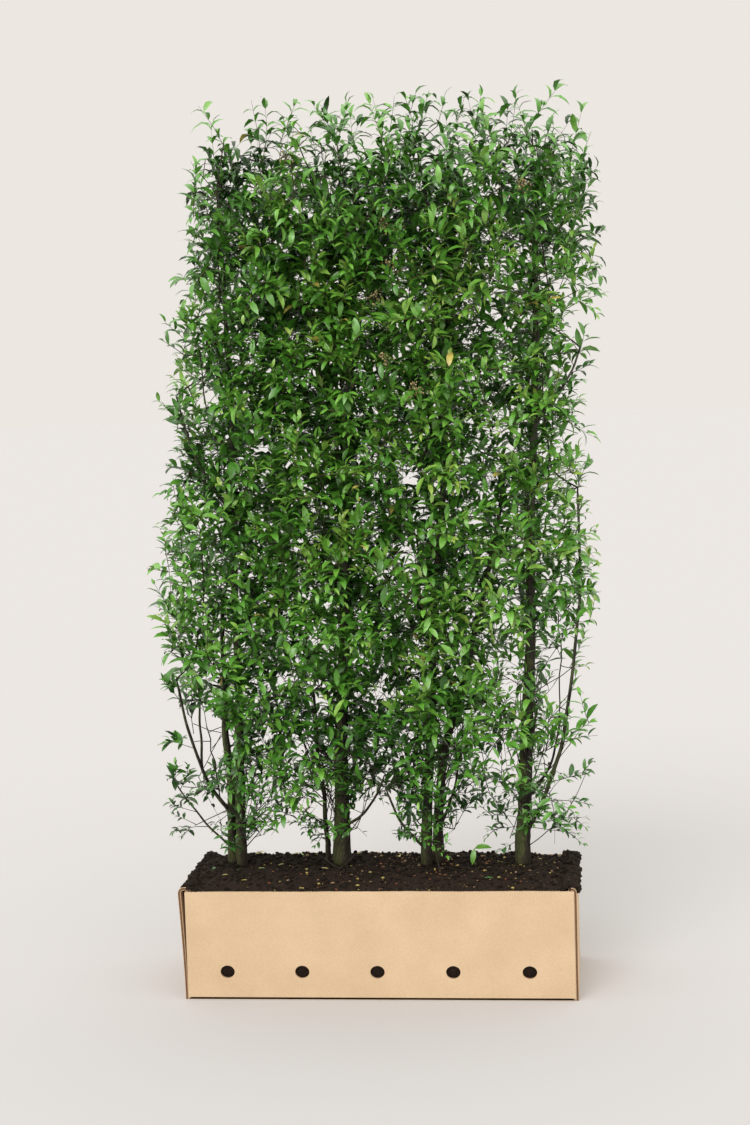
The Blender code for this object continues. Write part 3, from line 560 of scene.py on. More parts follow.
# Larger places where the photo's view passes between the leaves: middle x and z, half sizes, share open
SKY_GAPS = (
    (-0.481, 0.643, 0.091, 0.066, 0.97), (-0.524, 0.436, 0.076, 0.025, 0.97),
    (-0.429, 0.459, 0.025, 0.051, 0.85), (-0.247, 0.362, 0.097, 0.030, 0.85),
    (-0.152, 0.447, 0.030, 0.036, 0.80), (-0.021, 0.414, 0.061, 0.076, 0.72),
    (-0.250, 0.794, 0.023, 0.018, 0.80), (0.007, 0.751, 0.028, 0.018, 0.80),
    (-0.308, 0.641, 0.033, 0.023, 0.50), (-0.212, 0.606, 0.030, 0.023, 0.70),
    (-0.163, 0.724, 0.025, 0.020, 0.50), (0.182, 0.518, 0.028, 0.023, 0.60),
    (0.262, 0.391, 0.097, 0.056, 0.85), (0.483, 0.492, 0.071, 0.025, 0.80),
    (0.419, 0.364, 0.036, 0.043, 0.92), (0.452, 0.592, 0.041, 0.046, 0.70),
    (0.461, 0.768, 0.036, 0.076, 0.60), (0.440, 0.846, 0.020, 0.025, 0.80),
    (0.339, 0.804, 0.023, 0.043, 0.40), (0.196, 0.649, 0.018, 0.023, 0.50),
    (0.308, 0.580, 0.051, 0.056, 0.45), (0.523, 1.669, 0.023, 0.056, 0.70),
    (0.514, 1.564, 0.025, 0.030, 0.80), (0.470, 1.865, 0.015, 0.020, 0.80),
    (0.488, 1.783, 0.020, 0.018, 0.70), (-0.417, 1.521, 0.026, 0.018, 0.80),
    (-0.278, 1.389, 0.020, 0.020, 0.90), (-0.217, 1.346, 0.016, 0.016, 0.90),
    (-0.073, 1.552, 0.022, 0.020, 0.85), (0.099, 1.303, 0.024, 0.018, 0.85),
)

# The soil's fine relief: its grid, its clods and grain, and how far it has settled
SOIL_GRID = (330, 126)
LARGE_CLODS = 0.0055
SMALL_CLODS = 0.0045
SOIL_GRAIN = 0.0022
SOIL_SETTLED = 0.001

# Corners of a lump's icosahedron that are further apart than this have no edge between them
LUMP_EDGE = 2.1

# The soil over each end board's rim, by places out from the middle and heights, its relief and its crumbs
SPILL_PROFILES = {
    -1: (
        (0.450, 0.272), (0.466, 0.283), (0.478, 0.290), (0.487, 0.293), (0.494, 0.294), (0.499, 0.291),
        (0.502, 0.284),
    ),
    1: (
        (0.446, 0.272), (0.462, 0.284), (0.475, 0.291), (0.487, 0.293), (0.497, 0.290), (0.5025, 0.281),
        (0.4975, 0.268),
    ),
}
SPILL_GRID = (130, 16)
SPILL_INSET = 0.0015
SPILL_CLODS = 0.0060
SPILL_GRAIN = 0.005
SPILL_END_RUN = 0.02
SPILL_END_DROP = 0.006
SPILL_CRUMBS = 420

# On the soil: fallen leaves, a seedling with the heading, facing and length of its leaves, and fine bits
FALLEN_LEAVES = 32
FALLEN_TONES = (1, 4, 6, 7, 7, 7)
SEEDLING_FOOT = (0.236, -0.030)
SEEDLING_LEAVES = (
    ((-0.14, -0.35, -0.90), (0.0, -1.0, 0.3), 0.042),
    ((0.92, -0.2, 0.15), (0.0, -0.7, 0.8), 0.046),
)
FINE_BITS = 70

# Dead twigs on the soil, by their bends
DEAD_TWIGS = (
    (((-0.160, -0.030, 0.330), (-0.128, -0.050, 0.312), (-0.109, -0.062, 0.306), (-0.086, -0.040, 0.322),
      (-0.067, -0.030, 0.342)), 0.0022),
    (((-0.109, -0.062, 0.305), (-0.112, -0.090, 0.298), (-0.105, -0.120, 0.292)), 0.0018),
    (((0.155, -0.100, 0.292), (0.138, -0.068, 0.350), (0.112, -0.030, 0.439)), 0.0017),
)

# Boards: the unevenness of their upper edges and vents, how far each edge is softened, and where a tab starts
WALL_STEPS = 160
WALL_WAVE = 0.0008
WALL_FRAY = 0.0004
VENT_FRAY = 0.012
LINER_EDGE = 0.00025
CORE_EDGE = 0.0001
TAB_EDGE = 0.0006
TAB_FOOT = 0.004
BASE_EDGE = 0.001
FLUTE_STEPS = 8

# How far a wall's inner liner, its core and the flutes' ribbon stand under its edge, and the ribbon's depth
INNER_LOWER = 0.0006
CORE_LOWER = 0.0032
RIBBON_LOWER = 0.0012
RIBBON_DEPTH = 0.003

# An end board: its steps up, over and down again, how many of them are outside, its columns, and its sway
RISE_STEPS = 16
ROLL_STEPS = 12
DROP_STEPS = 12
OUTSIDE_STEPS = 24
END_COLUMNS = 40
END_SWAY = 0.0006

# How far an end board, its core and its flutes' ribbon stand in from the side, and the ribbon's depth
END_INSET = 0.0002
END_CORE_INSET = 0.0025
END_RIBBON_INSET = 0.0004
END_RIBBON_DEPTH = 0.0022

# Heads of old flowers: their length and width, and how many beads of what size they have
HEAD_LENGTH = 0.040
HEAD_WIDTH = 0.017
HEAD_BEADS = 34
BEAD_SIZE = (0.0016, 0.0030)

# Stage: floor and sky in linear colour, and the suns by name, turn in degrees, strength and width in degrees
FLOOR_REACH = 60
FLOOR_COLOUR = (0.494, 0.479, 0.482)
SKY_COLOUR = (0.84, 0.80, 0.755)
ZENITH_COLOUR = (1.82, 1.80, 1.70)
ZENITH_FROM = 0.18
SUNS = (
    ("key", (48.0, 0.0, -18.0), 1.2, 30.0),
    ("fill", (78.0, 0.0, 25.0), 0.3, 60.0),
)


def clamp(value, least=0.0, most=1.0):
    return min(max(value, least), most)


def plant_of(name, plants):
    """Which of the four plants a node's name belongs to."""
    return plants[int(name.split("_")[1]) - 1]


def link_object(name, data):
    """A new object in the scene for a mesh, a curve, a lamp or a camera."""
    thing = bpy.data.objects.new(name, data)
    bpy.context.scene.collection.objects.link(thing)
    return thing


def point_tree(points):
    """A search tree of many points."""
    tree = KDTree(len(points))
    for index, point in enumerate(points):
        tree.insert(point, index)
    tree.balance()
    return tree


def add_shape(points, triangles, some_points, some_triangles):
    """Adds one shape to a list of points and a list of triangles that many shapes share."""
    offset = len(points)
    points += [tuple(point) for point in some_points]
    triangles += [(a + offset, b + offset, c + offset) for a, b, c in some_triangles]


def lumps(x, y):
    """A fixed sum of waves, from -1 to 1, that breaks up the soil."""
    return sum(math.sin(a * x + b * y + c) for a, b, c in SOIL_WAVES) / len(SOIL_WAVES)


def soil_height(x, y, half_x, half_y):
    """Mounded in the middle, rough all over, and level where a stem stands."""
    edge = max(abs(x) / half_x, abs(y) / half_y)
    mound = SOIL_MOUND * (1 - edge ** SOIL_MOUND_POWER)
    height = SOIL_RIM + mound + SOIL_LUMP * lumps(x, y) * (1 - edge ** SOIL_LUMP_POWER)
    for foot, *_ in STEMS.values():
        away = math.hypot(x - foot[0], y - foot[1])
        blend = clamp((away - SEAT_RADIUS) / SEAT_RADIUS)
        height = SEAT_LEVEL + (height - SEAT_LEVEL) * blend
    return height


def sway(part, phase):
    """The small wander of a limb's centre line, nothing at its two ends."""
    swing = math.sin(math.pi * part) * SWAY
    turn = 2 * math.pi * SWAY_TURNS * part + phase
    return Vector((swing * math.sin(turn), swing * math.cos(SWAY_SKEW * turn), 0.0))


def centre_line(foot, handles, tip, count, phase):
    """The points of a limb, from a cubic curve through its foot and tip."""
    points = interpolate_bezier(foot, handles[0], handles[1], tip, count)
    return [point + sway(i / (count - 1), phase) for i, point in enumerate(points)]


def line_directions(points, level_foot):
    """Which way a line runs at each of its points."""
    aheads = []
    for i in range(len(points)):
        before = points[max(i - 1, 0)]
        after = points[min(i + 1, len(points) - 1)]
        aheads.append((after - before).normalized())
    if level_foot:
        aheads[0] = Vector((0.0, 0.0, 1.0))
    return aheads


def ring_frames(aheads, side):
    """The two directions that each ring is drawn in, carried from ring to ring without a twist."""
    if abs(aheads[0].dot(side)) > ALONG_LIMIT:
        side = Vector((0.03, 1.0, 0.02))
    side = (side - aheads[0] * side.dot(aheads[0])).normalized()
    frames = []
    last = aheads[0]
    for ahead in aheads:
        side = last.rotation_difference(ahead) @ side
        frames.append((side, ahead.cross(side)))
        last = ahead
    return frames


def tube_mesh(points, radii, sides, level_foot=False, tip_side=None):
    """Rings of points round a line, each square to it, and the faces that join them."""
    aheads = line_directions(points, level_foot)
    if tip_side:
        frames = ring_frames(aheads[::-1], tip_side)[::-1]
    else:
        frames = ring_frames(aheads, Vector((1.0, 0.03, 0.02)))
    count = len(points)
    vertices = []
    for point, radius, (side, up) in zip(points, radii, frames):
        for k in range(sides):
            turn = 2 * math.pi * k / sides
            vertices.append(point + radius * (math.cos(turn) * side + math.sin(turn) * up))
    faces = [tuple(range(sides - 1, -1, -1))]
    for i in range(count - 1):
        for k in range(sides):
            a = i * sides + k
            b = i * sides + (k + 1) % sides
            faces.append((a, b, b + sides, a + sides))
    last = (count - 1) * sides
    faces.append(tuple(range(last, last + sides)))
    return vertices, faces


def stem_spread(height):
    """How many times wider a stem is at a height over its foot, where its roots begin."""
    return 1 + FLARE * math.exp(-height / FLARE_HEIGHT)


def stem_line(name):
    foot, first, second, tip, foot_radius, tip_radius = STEMS[name]
    start = Vector((foot[0], foot[1], SEAT_LEVEL + TOUCH))
    line = centre_line(start, (Vector(first), Vector(second)), Vector(tip), STEM_RINGS, foot[0] * STEM_PHASE)
    flare_rings = [start + Vector((0, 0, FLARE_HEIGHT * step)) for step in FLARE_RINGS]
    points = flare_rings + line[1:]
    radii = []
    for point in points:
        part = (point.z - start.z) / (tip[2] - start.z)
        radius = foot_radius + (tip_radius - foot_radius) * part ** STEM_TAPER_POWER
        radii.append(radius * stem_spread(point.z - start.z))
    return points, radii


def line_at_height(line, height):
    points = line[0]
    for before, after in zip(points, points[1:]):
        if before.z <= height <= after.z:
            return before.lerp(after, (height - before.z) / (after.z - before.z))
    return points[-1]


def bough_line(name, lines):
    (carrier, height), first, second, tip, foot_radius, tip_radius = BOUGHS[name]
    start = line_at_height(lines[carrier], height)
    handles = (Vector(first), Vector(second))
    points = centre_line(start, handles, Vector(tip), BOUGH_RINGS, tip[0] * BOUGH_PHASE)
    radii = []
    for i in range(len(points)):
        part = i / (len(points) - 1)
        radii.append(foot_radius + (tip_radius - foot_radius) * part)
    return points, radii


def grown(line, margin):
    """The same line with every radius wider by a margin."""
    return line[0], [radius + margin for radius in line[1]]


def between(table, height):
    """Reads a value at a height from a short table of (height, value)."""
    if height <= table[0][0]:
        return table[0][1]
    for (low, first), (high, second) in zip(table, table[1:]):
        if height <= high:
            return first + (second - first) * (height - low) / (high - low)
    return table[-1][1]


def crown_half_depth(x, z):
    """Half of the crown's depth: less near the ground, and less where its two ends round off."""
    left = between(CROWN_LEFT, z)
    right = between(CROWN_RIGHT, z)
    along = 2 * (x - left) / (right - left) - 1
    rise = clamp((z - CROWN_FOOT) / (CROWN_FULL_FROM - CROWN_FOOT))
    depth = CROWN_FOOT_HALF_DEPTH + (CROWN_HALF_DEPTH - CROWN_FOOT_HALF_DEPTH) * rise
    return depth * (1 - CORNER_CUT * min(abs(along), 1.0) ** CORNER_POWER)


def in_space(point, space):
    """Whether a point is in a mass's own space: its block, and the crown's outline."""
    x, y, z = point
    low, high = space
    for value, least, most in zip(point, low, high):
        if not least + SPACE_CLEARANCE <= value <= most - SPACE_CLEARANCE:
            return False
    if not between(CROWN_LEFT, z) <= x <= between(CROWN_RIGHT, z):
        return False
    return abs(y) <= crown_half_depth(x, z)


def mass_spaces():
    """The block of space of each mass, before and behind the stems, plant by plant and floor by floor."""
    spaces = {}
    rows = (("front", FRONT_WALLS, FRONT_FLOORS), ("back", BACK_WALLS, BACK_FLOORS))
    for row, walls, floors in rows:
        nearest, furthest = (-CROWN_HALF_DEPTH, 0.0) if row == "front" else (0.0, CROWN_HALF_DEPTH)
        for plant in range(len(MAIN_STEMS)):
            step = FLOOR_STAGGER * (plant % 2)
            levels = [floors[0]] + [level + step for level in floors[1:-1]] + [floors[-1]]
            for floor in range(len(levels) - 1):
                low = (walls[plant], nearest - SPACE_CLEARANCE, levels[floor])
                high = (walls[plant + 1], furthest + SPACE_CLEARANCE, levels[floor + 1])
                spaces[f"mass_{plant + 1}_{row}_{floor + 1}"] = (low, high)
    return spaces


def width_at(space, height):
    """The two ends of a space at a height, where its walls or the crown's outline stop it."""
    low, high = space
    return max(low[0], between(CROWN_LEFT, height)), min(high[0], between(CROWN_RIGHT, height))


def mesh_tree(points, faces):
    return BVHTree.FromPolygons([tuple(p) for p in points], faces, epsilon=0.0)


def mass_outward(name):
    return Vector((0, -1, 0)) if "front" in name else Vector((0, 1, 0))


def mass_root(name, space, lines):
    """Where a mass's own stem starts, square to the face of the limb that carries it and just clear of it."""
    carrier = TIP_CARRIERS.get(name)
    if carrier:
        points, radii = lines[carrier]
        ahead = (points[-1] - points[-2]).normalized()
        start = points[-1] + ahead * TOUCH
        radius = min(TWIG_RADIUS, ROOT_TAPER * radii[-1])
        return start, start + ahead * ROOT_RUN, radius
    carrier = plant_of(name, MAIN_STEMS)
    low, high = space
    height = low[2] + STEM_ROOT_HEIGHT * (high[2] - low[2])
    centre = line_at_height(lines[carrier], height)
    outward = mass_outward(name)
    tree = mesh_tree(*tube_mesh(*lines[carrier], STEM_SIDES, level_foot=True))
    place, normal, _, _ = tree.ray_cast(centre + outward * PROBE_REACH, -outward)
    start = place + normal * ROOT_CLEARANCE
    return start, start + normal * ROOT_RUN, TWIG_RADIUS * ROOT_TAPER


def leaf_corners(root, ahead, normal, length, width):
    """The widest ring of a leaf, anticlockwise seen from its tip, and the tip, bowed up and then down."""
    across = normal.cross(ahead).normalized()
    up = ahead.cross(across)
    middle = root + ahead * length * LEAF_WIDEST + up * length * LEAF_BOW
    ring = [
        middle + across * width / 2,
        middle + up * LEAF_THICKNESS / 2,
        middle - across * width / 2,
        middle - up * LEAF_THICKNESS / 2,
    ]
    return ring, root + ahead * length


def leaf_alone(root, ahead, normal, length, width):
    """A leaf as a small closed shape, for testing where it fits."""
    ring, tip = leaf_corners(root, ahead, normal, length, width)
    faces = [(k, (k + 1) % 4, 4) for k in range(4)] + [((k + 1) % 4, k, 5) for k in range(4)]
    return ring + [tip, root], faces


def apart(point, other):
    """How far apart two points look, seen mostly from the front."""
    away = point - other
    return Vector((away.x, DEPTH_WEIGHT * away.y, away.z)).length


def spread_targets(space, rng, count):
    """Points that fill a space evenly: each is the one of several tries that is furthest from the rest."""
    low, high = space
    deep = NODE_MARGIN / 2
    chosen = []
    while len(chosen) < count:
        best = None
        best_gap = -1.0
        tries = 0
        while tries < TARGET_TRIES:
            z = rng.uniform(low[2] + NODE_MARGIN, high[2] - NODE_MARGIN)
            left, right = width_at(space, z)
            x = rng.uniform(left + NODE_MARGIN, right - NODE_MARGIN)
            point = Vector((x, rng.uniform(low[1] + deep, high[1] - deep), z))
            if not in_space(point, space):
                continue
            tries += 1
            gap = min([apart(point, other) for other in chosen], default=1.0)
            if gap > best_gap:
                best = point
                best_gap = gap
        chosen.append(best)
    return chosen


def fits(mesh, space, trees):
    """Whether a small mesh stays in its space and crosses none of the search trees."""
    points, faces = mesh
    if not all(in_space(point, space) for point in points):
        return False
    own = mesh_tree(points, faces)
    return not any(own.overlap(tree) for tree in trees)


def jitter(rng):
    return Vector([rng.uniform(-1, 1) for _ in range(3)])


def choose_leaf(root, along, normal, turn, space, limbs, placed, rng):
    """A leaf that leaves the twig at a turn from it, tried at several tilts and sizes until it fits.

    It stays in its mass's space and off every limb. Only the last tries let it cross another leaf.
    """
    for attempt in range(LEAF_TRIES):
        shrink = 1.0 - LEAF_SHRINK * attempt / LEAF_TRIES
        face = (normal + LEAF_TILT * jitter(rng)).normalized()
        stray = TURN_STRAY * (1 + 2 * attempt / LEAF_TRIES)
        ahead = Quaternion(normal, turn + rng.uniform(-stray, stray)) @ along
        ahead = (ahead + LEAF_DROOP * face * rng.uniform(-1, 1)).normalized()
        length = LEAF_LENGTH * shrink * rng.uniform(1 - LEAF_VARIATION, 1 + LEAF_VARIATION)
        width = LEAF_WIDTH * shrink
        trees = [limbs] if attempt > CROSSING_FROM * LEAF_TRIES else [limbs] + placed
        if fits(leaf_alone(root + ahead * LEAF_SKIP, ahead, face, length - LEAF_SKIP, width), space, trees):
            return root, ahead, face, length, width
    return None


def grow_sprays(route, radius, space, outward, obstacles, rng):
    """Sprays that branch from one stem: each reaches for its target from the nearest limb before it."""
    runs = []
    placed = []
    sprays = []
    targets = spread_targets(space, rng, SPRAYS)
    targets.sort(key=lambda point: (point - route[1]).length)
    jobs = [(route, radius)] + [([None, target], None) for target in targets]
    for points, thick in jobs:
        if points[0] is None:
            points, thick = twig_route(points[1], runs, space, obstacles, placed)
            if points is None:
                continue
        tip = points[-1]
        along = (tip - points[-2]).normalized()
        thin = max(thick * TWIG_TAPER, TWIG_LEAST)
        normal = outward + FACE_TILT * jitter(rng)
        normal = (normal - along * normal.dot(along)).normalized()
        node = tip - along * NODE_LENGTH
        leaves = []
        for root, turn in ((tip, 0.0), ((tip + node) / 2, SIDE_TURN), ((tip + node) / 2, -SIDE_TURN)):
            leaf = choose_leaf(root, along, normal, turn, space, obstacles, placed, rng)
            leaves.append(leaf)
            if leaf:
                placed.append(mesh_tree(*leaf_alone(*leaf)))
        line = points[:-1] + [node, tip]
        radii = [thick + (thin - thick) * k / (len(line) - 2) for k in range(len(line) - 1)] + [thin]
        sprays.append((line, radii, normal, leaves))
        first = 1 if not runs else 0
        for k in range(first, len(line) - 2):
            runs.append((line[k], line[k + 1], radii[k], radii[k + 1]))
    return sprays


def main_route(start, root_end, radius, space, blocked, rng):
    """The stem of a mass: off its limb, over to the middle of its space and up, clear of every limb."""
    low, high = space
    for attempt in range(ROUTE_TRIES):
        stray = ROUTE_STRAY + ROUTE_STRAY_GROWTH * attempt / ROUTE_TRIES
        top = high[2] - STEM_STOP
        middle = sum(width_at(space, top)) / 2
        crest = Vector((middle + rng.uniform(-stray, stray), (low[1] + high[1]) / 2, top))
        aside = Vector((crest.x, crest.y + rng.uniform(-stray, stray), root_end.z))
        bend = root_end.lerp(aside, STEM_LEAN) + Vector((0, 0, STEM_RISE))
        half = bend.lerp(crest, 0.5) + Vector((rng.uniform(-stray, stray) / 2, 0, 0))
        points = [start, root_end, bend, half, crest]
        tree = mesh_tree(*tube_mesh(points[1:], [radius] * (len(points) - 1), TWIG_SIDES))
        if not tree.overlap(blocked):
            return points
    raise ValueError("a mass's stem finds no clear way")


def twig_route(target, runs, space, obstacles, placed):
    """A straight twig to its target from the nearest place along the limbs before it, clear of the stems."""
    options = []
    for a, b, thick_a, thick_b in runs:
        for part in BRANCH_PARTS:
            place = a.lerp(b, part)
            thick = thick_a + (thick_b - thick_a) * part
            options.append(((place - target).length, place, thick * BRANCH_TAPER))
    options.sort(key=lambda option: option[0])
    for distance, place, thick in options[:ROUTE_TRIES]:
        if distance < SHORTEST_TWIG:
            continue
        thick = max(thick, TWIG_LEAST)
        twig = tube_mesh([place, target], [thick, thick], TWIG_SIDES)
        if fits(twig, space, [obstacles] + placed):
            return [place, target], thick
    return None, None


def joined_tree(tubes):
    """One search tree for many tubes."""
    points = []
    faces = []
    for some_points, some_faces in tubes:
        offset = len(points)
        points += some_points
        faces += [tuple(k + offset for k in face) for face in some_faces]
    return mesh_tree(points, faces)


def all_sprays(lines):
    """The sprays of every mass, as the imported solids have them."""
    spaces = mass_spaces()
    limbs = [tube_mesh(*grown(line, LIMB_CLEARANCE), STEM_SIDES) for line in lines.values()]
    routes = {}
    for seed, name in enumerate(spaces):
        start, root_end, radius = mass_root(name, spaces[name], lines)
        blocked = joined_tree(limbs + [tube for _, _, tube in routes.values()])
        rng = random.Random(ROUTE_SEED + seed)
        route = main_route(start, root_end, radius, spaces[name], blocked, rng)
        thick = [radius + LIMB_CLEARANCE] * len(route)
        routes[name] = (route, radius, tube_mesh(route, thick, TWIG_SIDES))
    sprays = {}
    for seed, name in enumerate(spaces):
        others = [tube for other, (_, _, tube) in routes.items() if other != name]
        route, radius, _ = routes[name]
        rng = random.Random(seed + RETRY_SEED * LATER_TRIES.get(name, 0))
        obstacles = joined_tree(limbs + others)
        sprays[name] = grow_sprays(route, radius, spaces[name], mass_outward(name), obstacles, rng)
    return sprays


def triangle_object(name, points, triangles, materials, tones=None, smooth=True):
    """An object from arrays of points and of triangles."""
    mesh = bpy.data.meshes.new(name)
    count = len(triangles)
    mesh.vertices.add(len(points))
    mesh.vertices.foreach_set("co", np.asarray(points, dtype=np.float32).ravel())
    mesh.loops.add(3 * count)
    mesh.loops.foreach_set("vertex_index", np.asarray(triangles, dtype=np.int32).ravel())
    mesh.polygons.add(count)
    mesh.polygons.foreach_set("loop_start", np.arange(0, 3 * count, 3, dtype=np.int32))
    if tones is not None:
        mesh.polygons.foreach_set("material_index", np.asarray(tones, dtype=np.int32))
    mesh.polygons.foreach_set("use_smooth", np.full(count, smooth))
    for made in materials:
        mesh.materials.append(made)
    mesh.update(calc_edges=True)
    return link_object(name, mesh)


def fan(faces):
    """Triangles from faces of any number of corners."""
    return [(face[0], face[k], face[k + 1]) for face in faces for k in range(1, len(face) - 1)]


def join_tubes(tubes):
    """One list of points and one of triangles from many tubes, each (points, radii, sides, tone)."""
    points = []
    triangles = []
    tones = []
    for line, radii, sides, tone in tubes:
        some_points, some_faces = tube_mesh(line, radii, sides)
        some_triangles = fan(some_faces)
        add_shape(points, triangles, some_points, some_triangles)
        tones += [tone] * len(some_triangles)
    return points, triangles, tones


def square_to(direction, axis):
    """The part of a direction that is square to an axis, as a unit vector."""
    part = direction - axis * direction.dot(axis)
    if part.length < 1e-4:
        part = axis.orthogonal()
    return part.normalized()


def tone_at(point, rng):
    """The usual leaf tone at a place, before each leaf's own stray, with painted shade and painted light in
    parts of the crown.
    """
    x, y, z = point
    tone = USUAL_TONE - DEEPER_HIGH * max(0.0, (z - 1.5) / 0.7)
    # Fresher to the right below 2 m, deeper above it: partly fresher leaves, partly painted light
    tone += FRESHER_AND_LIT_RIGHT * max(0.0, (x - 0.1) / 0.4) * clamp((2.0 - z) / 0.2, -1.0, 1.0)
    # Painted shade: deeper tones below 0.75 m
    tone -= PAINTED_SHADE_LOW * clamp((0.75 - z) / 0.25)
    # Painted light: fresher toward the front; painted shade: deeper inside the crown
    tone += PAINTED_LIGHT_FRONT * max(0.0, -y / 0.2) - PAINTED_SHADE_INSIDE * max(0.0, 1.0 - abs(y) / 0.12)
    tone += TONE_PATCHES * noise.noise(Vector((x * 5.0, y * 5.0, z * 5.0)))
    tone += rng.gauss(0.0, SHOOT_TONE_STRAY)
    if z > 2.00:
        tone += FRESHER_TOP * (z - 2.00) / 0.24
    return clamp(tone, 0.0, FRESHEST_SHOOT)


def grow_sprig(plant, start, ahead, face, length, rng, droop=0.05, tone=None, young=1.4, bare=0.0):
    """A thin shoot with leaves in pairs that arch over, each pair turned a quarter from the last.

    High up the leaves are longer, narrower and more arched, and the pairs stand further apart. Near the
    ground the leaves are shorter and the pairs closer.
    """
    high = clamp((start.z - HIGH_FROM) / HIGH_RISE)
    low = clamp((LOW_UNDER - start.z) / LOW_DROP)
    gap = rng.uniform(*PAIR_GAP) * (1.0 + HIGH_CHANGES["gap"] * high + LOW_CHANGES["gap"] * low)
    pairs = max(2, round(length * (1 - bare) / gap))
    if tone is None:
        tone = tone_at(start, rng)
    wander = SPRIG_WANDER * length * jitter(rng)

    def place(part):
        bend = wander * math.sin(math.pi * part)
        return start + ahead * (length * part) - UP * (droop * length * part * part) + bend

    line = [place(k / (SPRIG_RINGS - 1)) for k in range(SPRIG_RINGS)]
    radii = [SPRIG_RADIUS * (1.15 - 0.75 * k / (SPRIG_RINGS - 1)) for k in range(SPRIG_RINGS)]
    leaves = []
    turn = rng.uniform(0.0, math.pi)
    for i in range(pairs + 1):
        part = bare + (1 - bare) * (i + 0.6) / (pairs + 0.6)
        at = place(min(part, 1.0))
        along = (place(min(part + 0.02, 1.02)) - place(part - 0.02)).normalized()
        up = square_to(UP + SPRIG_FACING * face, along)
        side = up.cross(along)
        growth = 1.0 - (TIP_SHRINK + HIGH_CHANGES["tip shrink"] * high) * part ** 3
        for half in (0.0, math.pi):
            angle = turn + half
            out = (math.cos(angle) * side + PAIR_FLATNESS * math.sin(angle) * up).normalized()
            spread = rng.uniform(*LEAF_SPREAD) * (1.0 - SPREAD_CLOSING * part * (1.0 - high))
            if i == pairs:
                spread = END_SPREAD
            leaf_ahead = along * math.cos(spread) + out * math.sin(spread) + jitter(rng) * LEAF_STRAY
            level = LEVEL_DOWN if leaf_ahead.z < 0 else LEVEL_UP
            leaf_ahead.z = leaf_ahead.z * level + rng.uniform(*LEAF_LIFT)
            leaf_ahead.normalize()
            normal = UP + face * LEAF_FACING + along * LEAF_LEANING + jitter(rng) * LEAF_ROLL
            normal = square_to(normal, leaf_ahead)
            change = 1.0 + HIGH_CHANGES["length"] * high + LOW_CHANGES["length"] * low
            size = rng.uniform(*REAL_LEAF) * growth * change
            width = size * rng.uniform(*LEAF_RATIO) * (1.0 + HIGH_CHANGES["width"] * high)
            fresh = tone + young * (1.0 + HIGH_CHANGES["young"] * high) * part ** 3
            fresh = min(fresh + rng.gauss(0.0, LEAF_TONE_STRAY), 6.0)
            colour = int(clamp(round(fresh), 0, YELLOW_TONE - 1))
            if rng.random() < YELLOW_CHANCE:
                colour = YELLOW_TONE
            bow = rng.uniform(*LEAF_ARCH) + HIGH_CHANGES["arch"] * high
            leaves.append((*at, *leaf_ahead, *normal, size, width, bow, colour))
        turn += math.pi / 2 + rng.uniform(-PAIR_TURN_STRAY, PAIR_TURN_STRAY)
    plant["sprigs"].append((line, radii, np.array(leaves)))
    return line


def part_of(line, part):
    """The point at a share of the way along a line."""
    run = part * (len(line) - 1)
    step = min(int(run), len(line) - 2)
    return line[step].lerp(line[step + 1], run - step)


def grow_fan(plant, leaf, rng):
    """The shoots that stand where the solid has one leaf: one along its middle and some to each side."""
    root, ahead, face, length, _ = leaf
    across = square_to(face, ahead).cross(ahead)
    tone = tone_at(root, rng)
    middle = grow_sprig(plant, root, ahead, face, length * 0.90, rng, tone=tone)
    for part, reach in SIDE_SPRIGS:
        for side in (-1, 1):
            if rng.random() < SIDE_MISSING:
                continue
            turn = side * SIDE_SPREAD * rng.uniform(0.6, 1.2)
            heading = ahead * math.cos(turn) + across * math.sin(turn) + face * rng.uniform(-0.5, 0.5)
            heading = (heading + UP * CLIMB * rng.uniform(0.4, 1.5)).normalized()
            grow_sprig(plant, part_of(middle, part), heading, face, length * reach, rng, tone=tone)


def grow_along(plant, line, outward, first, gap, rng):
    """Short leafy shoots to all sides of a twig."""
    turn = rng.uniform(0.0, 2 * math.pi)
    run = gap
    for before, after in zip(line[first:], line[first + 1:]):
        step = (after - before).length
        along = (after - before).normalized() if step > 1e-6 else UP
        while run < step:
            at = before.lerp(after, run / step)
            side = square_to(outward + 0.3 * jitter(rng), along)
            up = side.cross(along)
            out = math.cos(turn) * side + math.sin(turn) * up
            heading = (out + along * rng.uniform(0.2, 0.9) + UP * rng.uniform(0.1, 0.8)).normalized()
            face = (UP + out * 0.5).normalized()
            grow_sprig(plant, at, heading, face, rng.uniform(*SHORT_SPRIG), rng)
            turn += GOLDEN_TURN
            run += gap * rng.uniform(0.7, 1.3)
        run -= step


def wavy(line, amount, rng, parts=3):
    """The same line with more points, each a little out of true."""
    points = [line[0]]
    for before, after in zip(line, line[1:]):
        for k in range(1, parts + 1):
            point = before.lerp(after, k / parts)
            if k < parts:
                point = point + jitter(rng) * amount * (after - before).length
            points.append(point)
    return points


def dress_masses(plants, sprays):
    """Twigs and leafy shoots on every spray of every mass."""
    for index, name in enumerate(sprays):
        plant = plant_of(name, plants)
        rng = random.Random(MASS_SEED + index)
        outward = mass_outward(name)
        for number, (line, radii, _, leaves) in enumerate(sprays[name]):
            fine = wavy(line[:-2] + line[-1:], TWIG_WAVE, rng)
            thick = [radii[0] + (radii[-1] - radii[0]) * k / (len(fine) - 1) for k in range(len(fine))]
            plant["twigs"].append((fine, [radius * TWIG_SHARE for radius in thick], 5, 0))
            plant["anchors"] += line[1:]
            grow_along(plant, line, outward, 1 if number == 0 else 0, TWIG_SPRIG_GAP, rng)
            for leaf in leaves:
                if leaf:
                    grow_fan(plant, leaf, rng)


